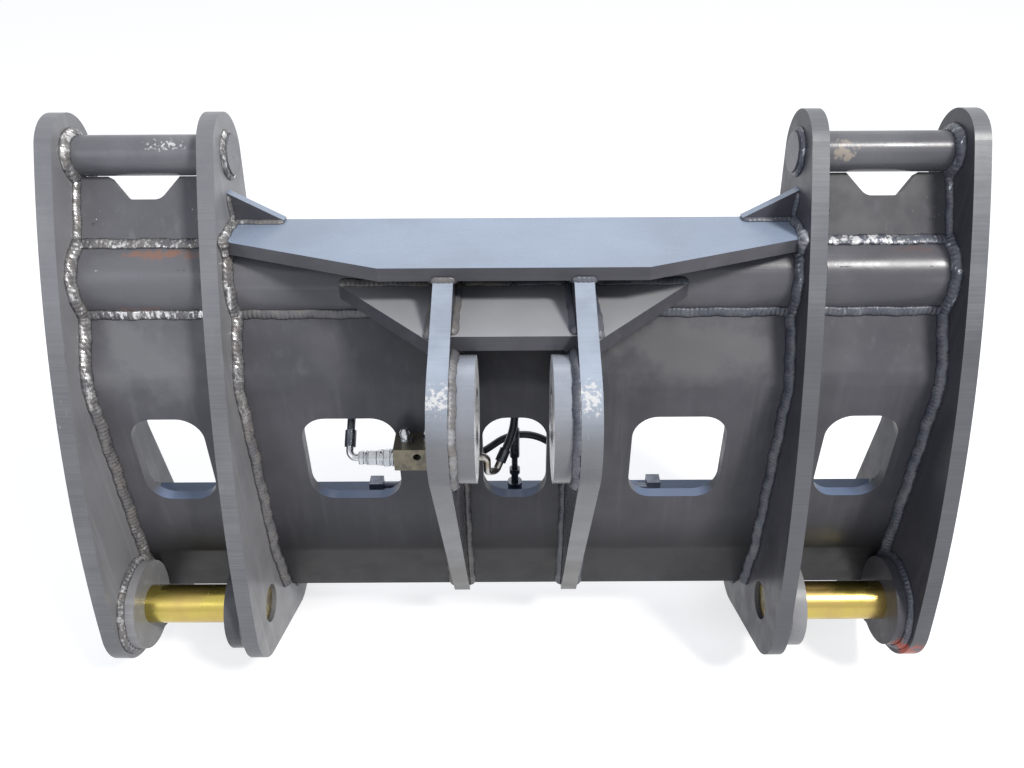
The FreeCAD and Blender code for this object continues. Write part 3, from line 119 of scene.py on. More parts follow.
class NodeBoard:
    """The node tree of a material or of the sky, with short calls for the nodes used here."""

    # Places of the colour sockets on the mix node
    COLOUR_A, COLOUR_B, COLOUR_RESULT = 6, 7, 2
    SIDEWAYS: ClassVar[Range] = (0.4, 0.7)
    UPWARDS: ClassVar[Range] = (0.5, 0.95)
    MARK_RIM: ClassVar[Range] = (1.0, 0.25)

    def __init__(self, owner: bpy.types.Material | bpy.types.World) -> None:
        """Start on the nodes of a new material or world.

        Args:
            owner: the material or world.
        """
        owner.use_nodes = True
        self.owner = owner
        self.nodes = owner.node_tree.nodes

    @property
    def shader(self) -> Node:
        """The material's own surface shader."""
        return self.nodes["Principled BSDF"]

    @cached_property
    def place(self) -> Socket:
        """The object's own coordinates."""
        return self.add("ShaderNodeTexCoord").outputs["Object"]

    @cached_property
    def normal(self) -> Socket:
        """The surface's normal."""
        return self.add("ShaderNodeNewGeometry").outputs["Normal"]

    def feed(self, node: Node, inputs: Inputs) -> None:
        """Link or set some of a node's inputs.

        Args:
            node: the node.
            inputs: an output socket or a plain value for each input.
        """
        for name, item in inputs.items():
            if isinstance(item, Socket):
                self.owner.node_tree.links.new(item, node.inputs[name])
            else:
                node.inputs[name].default_value = item

    def add(self, kind: str, inputs: Inputs | None = None, **settings: object) -> Node:
        """Add a node.

        Args:
            kind: Blender's node type.
            inputs: an output socket or a plain value for each input that isn't left as it is.
            settings: attributes to set on it.

        Returns:
            The new node.
        """
        node = self.nodes.new(kind)
        for name, setting in settings.items():
            setattr(node, name, setting)
        self.feed(node, inputs or {})
        return node

    def noise(self, speckle: Speckle) -> Socket:
        """Noise over the object's own coordinates, before it is cut to its range.

        Args:
            speckle: the noise wanted.

        Returns:
            The factor socket.
        """
        spot = self.add("ShaderNodeMapping", {"Vector": self.place, "Scale": speckle.grain.value})
        texture = self.add("ShaderNodeTexNoise", {"Vector": spot.outputs[0], "Scale": speckle.scale,
                                                  "Detail": speckle.detail, "Roughness": speckle.roughness})
        return texture.outputs["Fac"]

    def window(self, value: Socket, span: Range, result: Range = WHOLE) -> Socket:
        """Map a value from one range to another, smoothly and clamped.

        Args:
            value: socket to map.
            span: start and end of the input range.
            result: what it gives at the start and at the end.

        Returns:
            The mapped socket.
        """
        ends = {"From Min": span[0], "From Max": span[1], "To Min": result[0], "To Max": result[1]}
        ramp = self.add("ShaderNodeMapRange", {"Value": value, **ends}, interpolation_type="SMOOTHSTEP")
        return ramp.outputs["Result"]

    def speckle(self, speckle: Speckle) -> Socket:
        """Noise cut to its range."""
        return self.window(self.noise(speckle), speckle.span, speckle.result)

    def inverse(self, value: Socket) -> Socket:
        """1 where a value is 0, and 0 where it is 1."""
        return self.window(value, WHOLE, WHOLE[::-1])

    def maths(self, operation: str, first: Socket, second: Socket | float = 0.0) -> Socket:
        """Combine two values by Blender's operation of that name."""
        return self.add("ShaderNodeMath", {0: first, 1: second}, operation=operation).outputs[0]

    def both(self, first: Socket, second: Socket | float) -> Socket:
        """Product of two values."""
        return self.maths("MULTIPLY", first, second)

    def vector_maths(self, operation: str, first: Socket, second: Triple = (0.0, 0.0, 0.0)) -> Node:
        """Combine two vectors by Blender's operation of that name."""
        return self.add("ShaderNodeVectorMath", {0: first, 1: second}, operation=operation)

    def blend(self, factor: Socket, first: Triple | Socket, second: Triple | Socket) -> Socket:
        """Mix two colours.

        Args:
            factor: share of the second colour.
            first: colour or colour socket.
            second: colour or colour socket.

        Returns:
            The colour socket.
        """
        inputs = {"Factor": factor}
        for place, item in ((self.COLOUR_A, first), (self.COLOUR_B, second)):
            inputs[place] = item if isinstance(item, Socket) else (*item, 1.0)
        return self.add("ShaderNodeMix", inputs, data_type="RGBA").outputs[self.COLOUR_RESULT]

    def part(self, vector: Socket, axis: str) -> Socket:
        """One part of a vector: X, Y or Z."""
        return self.add("ShaderNodeSeparateXYZ", {0: vector}).outputs[axis]

    def facing_sideways(self) -> Socket:
        """Nearly 1 on faces that look along the machine's width, 0 on plate edges."""
        return self.window(self.maths("ABSOLUTE", self.part(self.normal, "X")), self.SIDEWAYS)

    def facing_up(self) -> Socket:
        """1 on faces that look upwards, 0 on the rest."""
        return self.window(self.part(self.normal, "Z"), self.UPWARDS)

    def marked(self, colour: Socket, marks: tuple[Mark, ...]) -> Socket:
        """Lay marks over a colour, each with a ragged rim.

        Args:
            colour: colour below the marks.
            marks: stains, tints and patches of painted light or shade, the lowest first.

        Returns:
            The colour socket.
        """
        for mark in marks:
            inverse_radii = tuple(1.0 / (radius * MM) for radius in mark.radii)
            away = self.vector_maths("SUBTRACT", self.place, scaled(mark.centre, MM)).outputs[0]
            shrunk = self.vector_maths("MULTIPLY", away, inverse_radii).outputs[0]
            length = self.vector_maths("LENGTH", shrunk).outputs["Value"]
            rim = (mark.sparseness - mark.breakup, mark.sparseness + mark.breakup)
            ragged = self.speckle(Speckle(mark.grain, result=rim))
            near = self.window(self.maths("ADD", length, ragged), self.MARK_RIM, (0.0, mark.strength))
            colour = self.blend(near, colour, mark.colour)
        return colour

    def bump(self, height: Socket, distance: float, strength: float = 1.0) -> None:
        """Drive the shader's normal from a height.

        Args:
            height: height factor.
            distance: real height in metres.
            strength: share of it that shows.
        """
        node = self.add("ShaderNodeBump", {"Strength": strength, "Distance": distance, "Height": height})
        self.feed(self.shader, {"Normal": node.outputs["Normal"]})


@dataclass(frozen=True)
class Finish:
    """A named finish, which paints its material on a node board."""

    name: str

    def build(self) -> bpy.types.Material:
        """Make the material.

        Returns:
            The finished material.
        """
        board = NodeBoard(bpy.data.materials.new(self.name))
        self.paint(board)
        return board.owner

    def paint(self, board: NodeBoard) -> None:
        """Set up the material's nodes on its board; each finish has its own."""
        raise NotImplementedError(self.name)


@dataclass(frozen=True)
class PrimerFinish(Finish):
    """Dark semi-gloss primer with mottling and scuffs, bright mill edges that are partly painted reflection,
    a painted sky reflection on upward faces and painted shade towards the bottom.
    """

    dark: Triple = (0.058, 0.058, 0.068)
    light: Triple = (0.086, 0.085, 0.097)
    scuff: Triple = (0.33, 0.33, 0.34)
    # Colour of the edges: mill edges, partly painted reflection; the next colour is a painted sky reflection
    # on edges higher up.
    edge: Triple | None = None
    edge_reflection_above: Triple | None = None
    # Painted light on upward faces, mostly a painted reflection of the blue sky.
    top: Triple | None = None
    # Painted shade towards the bottom.
    below: Triple | None = None
    face: Triple | None = None
    mill: float = 0.28
    coat: float = 0.05
    scuff_amount: float = 0.5
    grain: Grain = Grain.UPRIGHT
    roughness: Range = (0.30, 0.46)
    marks: tuple[Mark, ...] = ()

    CLOUDS: ClassVar[Speckle] = Speckle(7.0, 5.0, (0.32, 0.68))
    STREAKS: ClassVar[Speckle] = Speckle(60.0, 3.0, (0.50, 0.80), (0.0, 0.40))
    STREAK_GAIN: ClassVar[float] = 1.45
    DUST: ClassVar[Speckle] = Speckle(6.0, 4.0, (0.2, 0.8), (0.75, 1.0))
    MILL_LINES: ClassVar[Speckle] = Speckle(330.0, 2.0, grain=Grain.ACROSS)
    RUBBED: ClassVar[Speckle] = Speckle(9.0, 4.0, (0.30, 0.66), (0.70, 1.0))
    EDGE_CHANGES: ClassVar[Range] = (0.02, 0.10)
    FOOT: ClassVar[Range] = (-0.41, -0.29)
    FOOT_SHARE: ClassVar[float] = 0.9
    SCRATCHES: ClassVar[Speckle] = Speckle(150.0, 6.0, roughness=0.7)
    SCRATCH_START: ClassVar[float] = 0.80
    SCRATCH_GAIN: ClassVar[float] = 0.16
    SCRATCH_EDGE: ClassVar[Range] = (-0.08, 0.03)
    SCRATCHED: ClassVar[Speckle] = Speckle(9.0, 3.0, (0.46, 0.62))
    SHEEN: ClassVar[Speckle] = Speckle(22.0)
    SPECULAR: ClassVar[float] = 0.26
    COAT_ROUGHNESS: ClassVar[float] = 0.22
    PEEL_FINE: ClassVar[Speckle] = Speckle(260.0, 2.0)
    PEEL_FINE_SHARE: ClassVar[float] = 0.5
    PEEL_BROAD: ClassVar[Speckle] = Speckle(35.0, 3.0)
    PEEL_HEIGHT: ClassVar[float] = 0.0006
    PEEL_STRENGTH: ClassVar[float] = 0.25

    def paint(self, board: NodeBoard) -> None:
        """Set up the material's nodes.

        Args:
            board: the material's node board.
        """
        height = board.part(board.place, "Z")
        colour = board.blend(board.speckle(self.CLOUDS), self.dark, self.light)
        streaks = board.speckle(replace(self.STREAKS, grain=self.grain))
        colour = board.blend(streaks, colour, scaled(self.light, self.STREAK_GAIN))
        # Painted reflection and light on upward faces, broken up by noise.
        if self.top:
            colour = board.blend(board.both(board.facing_up(), board.speckle(self.DUST)), colour, self.top)
        # Edges: mill lines and rubbing, with a painted reflection that turns bluer and brighter higher up.
        if self.edge:
            lines = board.speckle(replace(self.MILL_LINES, result=(1.0 - self.mill, 1.0)))
            bright = board.both(lines, board.speckle(self.RUBBED))
            share = board.both(bright, board.inverse(board.facing_sideways()))
            level = board.window(height, self.EDGE_CHANGES)
            colour = board.blend(share, colour, board.blend(level, self.edge, self.edge_reflection_above or self.edge))
        # Painted shade: darker towards the bottom.
        if self.below:
            colour = board.blend(board.window(height, self.FOOT, (self.FOOT_SHARE, 0.0)), colour, self.below)
        if self.face:
            colour = board.blend(board.facing_sideways(), colour, self.face)
        colour = board.marked(colour, self.marks)
        limit = self.SCRATCH_START - self.SCRATCH_GAIN * self.scuff_amount
        span = tuple(limit + edge for edge in self.SCRATCH_EDGE)
        fine = board.speckle(replace(self.SCRATCHES, grain=self.grain, span=span))
        colour = board.blend(board.both(fine, board.speckle(self.SCRATCHED)), colour, self.scuff)
        peel = board.maths("ADD", board.both(board.noise(self.PEEL_FINE), self.PEEL_FINE_SHARE),
                           board.noise(self.PEEL_BROAD))
        board.bump(peel, self.PEEL_HEIGHT, self.PEEL_STRENGTH)
        sheen = board.speckle(replace(self.SHEEN, result=self.roughness))
        board.feed(board.shader, {"Base Color": colour, "Roughness": sheen,
                                  "Specular IOR Level": self.SPECULAR, "Coat Weight": self.coat,
                                  "Coat Roughness": self.COAT_ROUGHNESS})


@dataclass(frozen=True)
class MetalFinish(Finish):
    """Bare, plated or machined metal with stains and fine turning or brushing marks."""

    colour: Triple
    stain: Triple
    stain_scale: float = 26.0
    metallic: float = 1.0
    roughness: Range = (0.22, 0.42)
    line_depth: float = 0.4
    grain: Grain = Grain.NONE
    marks: tuple[Mark, ...] = ()

    STAINED: ClassVar[Range] = (0.38, 0.70)
    TURNED: ClassVar[Speckle] = Speckle(300.0, 2.0)
    LINES_SEEN: ClassVar[Range] = (0.5, 0.8)
    LINE_SHARE: ClassVar[Range] = (0.0, 0.35)
    LINE_SHADE: ClassVar[float] = 0.6
    LINE_HEIGHT: ClassVar[float] = 0.0003

    def paint(self, board: NodeBoard) -> None:
        """Set up the material's nodes.

        Args:
            board: the material's node board.
        """
        stains = board.speckle(Speckle(self.stain_scale, 5.0, self.STAINED))
        lines = board.noise(replace(self.TURNED, grain=self.grain))
        colour = board.blend(stains, self.colour, self.stain)
        shown = board.window(lines, self.LINES_SEEN, self.LINE_SHARE)
        colour = board.blend(shown, colour, scaled(self.colour, self.LINE_SHADE))
        board.bump(lines, self.LINE_HEIGHT, self.line_depth)
        sheen = board.speckle(Speckle(self.stain_scale * 2.0, result=self.roughness))
        board.feed(board.shader, {"Base Color": board.marked(colour, self.marks), "Roughness": sheen,
                                  "Metallic": self.metallic})


@dataclass(frozen=True)
class RubberFinish(Finish):
    """Black hose cover with a faint wrap pattern, and lighter blue-grey patches that are partly dusty and
    partly painted sheen.
    """

    colour: Triple = (0.018, 0.021, 0.028)
    # Lighter blue-grey patches: partly dusty, partly painted sheen.
    dust: Triple = (0.060, 0.072, 0.092)

    DUSTY_SHEEN: ClassVar[Speckle] = Speckle(40.0, 4.0, (0.42, 0.7))
    SHEEN: ClassVar[Speckle] = Speckle(90.0, result=(0.26, 0.42))

    def paint(self, board: NodeBoard) -> None:
        """Set up the material's nodes.

        Args:
            board: the material's node board.
        """
        wrap = board.add("ShaderNodeTexWave", {"Vector": board.place, "Scale": 160.0, "Distortion": 1.5},
                         wave_type="BANDS", bands_direction="DIAGONAL")
        board.bump(wrap.outputs["Fac"], 0.0004, 0.3)
        colour = board.blend(board.speckle(self.DUSTY_SHEEN), self.colour, self.dust)
        board.feed(board.shader, {"Base Color": colour, "Roughness": board.speckle(self.SHEEN)})


@dataclass(frozen=True)
class WeldFinish(Finish):
    """Thinly painted weld metal: pits lower down, and bare flecks only high up towards the outer plates,
    where light falls, so they are partly painted highlight.
    """

    paint_colour: Triple = (0.115, 0.113, 0.122)
    bare: Triple = (0.62, 0.62, 0.62)
    pits: Triple = (0.035, 0.033, 0.036)
    tint: Triple = (0.165, 0.155, 0.150)
    bare_share: float = 0.5
    # Height and distance from the middle beyond which the flecks show, as painted highlight where light
    # falls.
    glint_above: float = -0.10
    glint_beyond: float = 0.40
    marks: tuple[Mark, ...] = ()

    BEYOND_EDGE: ClassVar[float] = 0.02
    ABOVE_EDGE: ClassVar[Range] = (-0.05, 0.10)
    FLECKS: ClassVar[Speckle] = Speckle(120.0, 5.0, grain=Grain.DRAWN, roughness=0.65)
    FLECK_START: ClassVar[float] = 0.64
    FLECK_GAIN: ClassVar[float] = 0.18
    FLECK_EDGE: ClassVar[float] = 0.10
    TINTED: ClassVar[Speckle] = Speckle(30.0, 3.0, (0.40, 0.62))
    PITTED: ClassVar[Speckle] = Speckle(240.0, 3.0, (0.56, 0.66), (0.0, 0.8))
    PITS_LEFT: ClassVar[Range] = (1.0, 0.25)
    SCALY: ClassVar[Speckle] = Speckle(330.0, 3.0)
    SCALE_HEIGHT: ClassVar[float] = 0.0005
    ROUGHNESS: ClassVar[Range] = (0.40, 0.24)
    METALLIC: ClassVar[Range] = (0.10, 0.85)

    def paint(self, board: NodeBoard) -> None:
        """Set up the material's nodes.

        Args:
            board: the material's node board.
        """
        # Painted highlight: the bright flecks show only far enough out along the width and high enough up,
        # where light falls.
        beyond = board.window(board.maths("ABSOLUTE", board.part(board.place, "X")),
                              (self.glint_beyond, self.glint_beyond + self.BEYOND_EDGE))
        rise = tuple(self.glint_above + edge for edge in self.ABOVE_EDGE)
        above = board.window(board.part(board.place, "Z"), rise)
        low = self.FLECK_START - self.FLECK_GAIN * self.bare_share
        flecks = board.speckle(replace(self.FLECKS, span=(low, low + self.FLECK_EDGE)))
        flecks = board.both(flecks, board.both(beyond, above))
        colour = board.blend(board.speckle(self.TINTED), self.paint_colour, self.tint)
        pitted = board.both(board.speckle(self.PITTED), board.window(above, WHOLE, self.PITS_LEFT))
        colour = board.blend(pitted, colour, self.pits)
        colour = board.blend(flecks, colour, self.bare)
        board.bump(board.noise(self.SCALY), self.SCALE_HEIGHT, 0.5)
        board.feed(board.shader, {"Base Color": board.marked(colour, self.marks),
                                  "Roughness": board.window(flecks, WHOLE, self.ROUGHNESS),
                                  "Metallic": board.window(flecks, WHOLE, self.METALLIC)})


# Welds


@dataclass
class Station:
    """A point on the corner that a weld fills, with the directions of its two faces."""

    point: Vector
    along_a: Vector
    along_b: Vector


@dataclass
class WeldRun:
    """One fillet weld along a corner, with the overlapping scales of its passes."""

    stations: list[Station]
    leg: float = 11.0
    seed: int = 1
    closed: bool = False

    PITCH: ClassVar[float] = 7.0
    STEP: ClassVar[float] = 1.75
    RUN_IN: ClassVar[float] = 7.0
    END_SIZE: ClassVar[float] = 0.35
    ACROSS: ClassVar[int] = 6
    SWAYS: ClassVar[tuple[Range, ...]] = ((0.07, 13.0), (0.05, 4.7))
    UNEVEN: ClassVar[float] = 0.04
    LAG: ClassVar[float] = 0.45
    RIPPLE_POWER: ClassVar[float] = 0.6
    CROWN: ClassVar[float] = 0.06
    RIPPLE: ClassVar[float] = 0.20
    PROUD: ClassVar[float] = 0.15

    def sampled(self) -> Iterator[tuple[float, Station]]:
        """Evenly spaced stations along the run.

        Returns:
            Pairs of the distance along the run and the station there.
        """
        travelled = 0.0
        for first, last in zip(self.stations, self.stations[1:]):
            length = (last.point - first.point).length
            count = max(1, round(length / self.STEP))
            for i in range(count):
                t = i / count
                yield travelled + t * length, Station(
                    first.point.lerp(last.point, t),
                    first.along_a.lerp(last.along_a, t).normalized(),
                    first.along_b.lerp(last.along_b, t).normalized())
            travelled += length
        yield travelled, self.stations[-1]

    def rows(self) -> list[list[Vector]]:
        """Cross-sections of the bead.

        Returns:
            One row of points for each sampled station, the corner point first.
        """
        chance = random.Random(self.seed)
        wander = [chance.uniform(0.0, math.tau) for _ in range(3)]
        length = sum((b.point - a.point).length for a, b in zip(self.stations, self.stations[1:]))
        rows = []
        for distance, station in self.sampled():
            from_end = 1.0 if self.closed else min(1.0, min(distance, length - distance) / self.RUN_IN)
            leg = self.leg * (self.END_SIZE + (1.0 - self.END_SIZE) * math.sqrt(from_end))
            sway = sum(size * math.sin(distance / wave + start)
                       for (size, wave), start in zip(self.SWAYS, wander))
            leg_a = leg * (1.0 + sway + chance.uniform(-self.UNEVEN, self.UNEVEN))
            leg_b = leg * (1.0 - sway + chance.uniform(-self.UNEVEN, self.UNEVEN))
            outward = (station.along_a + station.along_b).normalized()
            row = [station.point.copy()]
            for k in range(self.ACROSS):
                t = k / (self.ACROSS - 1)
                crown = 4.0 * t * (1.0 - t)
                phase = (distance - self.LAG * self.PITCH * crown) / self.PITCH + wander[2]
                ripple = abs(math.sin(math.pi * phase)) ** self.RIPPLE_POWER
                rise = leg * crown * (self.CROWN + self.RIPPLE * ripple)
                base = station.along_a * (leg_a * (1.0 - t)) + station.along_b * (leg_b * t)
                row.append(station.point + base + outward * (rise + self.PROUD))
            rows.append(row)
        return rows


class WeldMesh:
    """Many weld runs gathered into one mesh."""

    ARC_STEP: ClassVar[float] = 7.5
    DROP_SIDES: ClassVar[int] = 6
    DROP_RINGS: ClassVar[tuple[Range, ...]] = ((1.0, 0.0), (0.7, 0.6))
    DROP_TOP: ClassVar[float] = 0.95
    DROP_RADII: ClassVar[Range] = (0.5, 1.3)

    def __init__(self, name: str, finish: WeldFinish) -> None:
        """Start an empty mesh.

        Args:
            name: name of the piece.
            finish: look of the weld metal.
        """
        self.name = name
        self.finish = finish
        self.points: list[Vector] = []
        self.faces: list[tuple[int, ...]] = []

    def add(self, run: WeldRun) -> None:
        """Append a run.

        Args:
            run: the weld run.
        """
        rows = run.rows()
        start = len(self.points)
        across = len(rows[0])
        for row in rows:
            self.points.extend(row)
        for i in range(len(rows) - 1):
            here = start + i * across
            for k in range(across):
                j = (k + 1) % across
                self.faces.append((here + k, here + j, here + across + j, here + across + k))
        last = start + (len(rows) - 1) * across
        self.faces.append(tuple(range(start + across - 1, start - 1, -1)))
        self.faces.append(tuple(range(last, last + across)))

    def straight(self, start: Vector, end: Vector, along_a: Vector, along_b: Vector, leg: float,
                 seed: int) -> None:
        """Append a straight run.

        Args:
            start: first corner point.
            end: last corner point.
            along_a: direction of the first face.
            along_b: direction of the second face.
            leg: leg length.
            seed: seed of its unevenness.
        """
        self.add(WeldRun([Station(start, along_a, along_b), Station(end, along_a, along_b)], leg, seed))

    def ring(self, centre: Vector, radius: float, way: float, leg: float, seed: int) -> None:
        """Append a run about a round piece that stands on a side plate.

        Args:
            centre: point on the plate's face where the axis meets it.
            radius: radius of the round piece.
            way: 1 or -1, the direction in which the round piece leaves the face.
            leg: leg length.
            seed: seed of its unevenness.
        """
        stations = []
        count = round(360.0 / self.ARC_STEP)
        for i in range(count + 1):
            angle = math.radians(360.0 * i / count)
            out = at(0.0, math.cos(angle), math.sin(angle))
            stations.append(Station(centre + out * radius, out, at(way)))
        self.add(WeldRun(stations, leg, seed, closed=True))

    def spatter(self, centre: Vector, spread: Vector, normal: Vector, count: int, seed: int) -> None:
        """Append small drops of weld metal on a face.

        Args:
            centre: middle of the patch.
            spread: half widths of the patch.
            normal: direction out of the face.
            count: number of drops.
            seed: seed of the placing.
        """
        chance = random.Random(seed)
        for _ in range(count):
            place = centre + Vector([chance.gauss(0.0, 0.5) * s for s in spread])
            self.drop(place, normal, chance.uniform(*self.DROP_RADII))

    def drop(self, place: Vector, normal: Vector, radius: float) -> None:
        """Append one flattened drop.

        Args:
            place: foot of the drop.
            normal: direction out of the face.
            radius: radius of its foot.
        """
        side = normal.orthogonal().normalized()
        other = normal.cross(side)
        start, sides = len(self.points), self.DROP_SIDES
        for ring, (width, height) in enumerate(self.DROP_RINGS):
            for k in range(sides):
                angle = math.tau * (k + 0.5 * ring) / sides
                edge = side * math.cos(angle) + other * math.sin(angle)
                self.points.append(place + edge * (radius * width) + normal * (radius * height))
        self.points.append(place + normal * (radius * self.DROP_TOP))
        for k in range(sides):
            j = (k + 1) % sides
            self.faces.append((start + k, start + j, start + sides + j, start + sides + k))
            self.faces.append((start + sides + k, start + sides + j, start + 2 * sides))

    def build(self) -> None:
        """Make the object and let it ride on the frame."""
        mesh = bpy.data.meshes.new(self.name)
        mesh.from_pydata([p * MM for p in self.points], [], self.faces)
        mesh.validate()
        for polygon in mesh.polygons:
            polygon.use_smooth = True
        piece = new_piece(mesh, self.finish)
        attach(piece, "frame")


def new_piece(mesh: bpy.types.Mesh, finish: Finish) -> bpy.types.Object:
    """Make an object of a mesh, with the same name.

    Args:
        mesh: its mesh.
        finish: its finish.

    Returns:
        The object, in the scene.
    """
    mesh.materials.append(finish.build())
    piece = bpy.data.objects.new(mesh.name, mesh)
    bpy.context.scene.collection.objects.link(piece)
    LOG.info("%s: %d points", mesh.name, len(mesh.vertices))
    return piece


def dress(finish: Finish, *nodes: str) -> None:
    """Give nodes of the frame their finish.

    Args:
        finish: the finish that they share.
        nodes: names of the nodes.
    """
    material = finish.build()
    for node in nodes:
        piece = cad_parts[node]
        piece.data.materials.clear()
        piece.data.materials.append(material)
        LOG.info("%s: %s", node, material.name)


def pair(*stems: str) -> list[str]:
    """Names of the left and the right node of each kind."""
    return [f"{stem}_{side.word}" for stem in stems for side in Side]


OVERSPRAY = Mark((668.0, 4.0, -497.0), (32.0, 40.0, 28.0), (0.50, 0.075, 0.035), 0.85, 60.0, 0.4)
# Bright flecks of bare weld metal on welds that face the light: partly painted highlight.
BOSS_FLECKS = Mark((-84.0, -45.0, 20.0), (16.0, 70.0, 95.0), (0.34, 0.345, 0.355), 0.85, 60.0, 0.3)
COLLAR_FLECKS = Mark((-655.0, 84.0, -459.0), (22.0, 115.0, 115.0), (0.44, 0.445, 0.46), 0.8,
                     120.0, 0.9, 0.3)
SEAM_FLECKS = Mark((525.0, 240.0, 150.0), (85.0, 26.0, 22.0), (0.66, 0.66, 0.67), 0.85, 110.0, 1.0, 0.4)


# Sub-assemblies


@dataclass
class SidePlates:
    """The four side plates and the places of their faces."""

    inner_inside: float = 428.0
    thickness: float = 25.0
    gap: float = 207.0

    @property
    def inner_outside(self) -> float:
        """Outer face of an inner plate."""
        return self.inner_inside + self.thickness

    @property
    def outer_inside(self) -> float:
        """Inner face of an outer plate."""
        return self.inner_outside + self.gap

    def dress(self) -> None:
        """Paint the plates with bright mill edges and a painted reflection on their upper edges; the left
        plates are a lighter copy as painted light, the right ones a darker copy as painted shade.
        """
        # Painted light: the left plates are a lighter copy of the paint.
        left = PrimerFinish("side_plate_primer_painted_light_left", dark=(0.205, 0.205, 0.216),
                            light=(0.255, 0.254, 0.267), edge=(0.128, 0.132, 0.144),
                            edge_reflection_above=(0.155, 0.160, 0.175), scuff_amount=0.45)
        # Painted shade: the right plates are a darker copy of the paint.
        right = replace(left, name="side_plate_primer_painted_shade_right", dark=(0.052, 0.052, 0.062),
                        light=(0.076, 0.075, 0.087), edge=(0.112, 0.115, 0.125),
                        edge_reflection_above=(0.165, 0.170, 0.184), marks=(OVERSPRAY,))
        dress(left, "inner_plate_left", "outer_plate_left")
        dress(right, "inner_plate_right", "outer_plate_right")


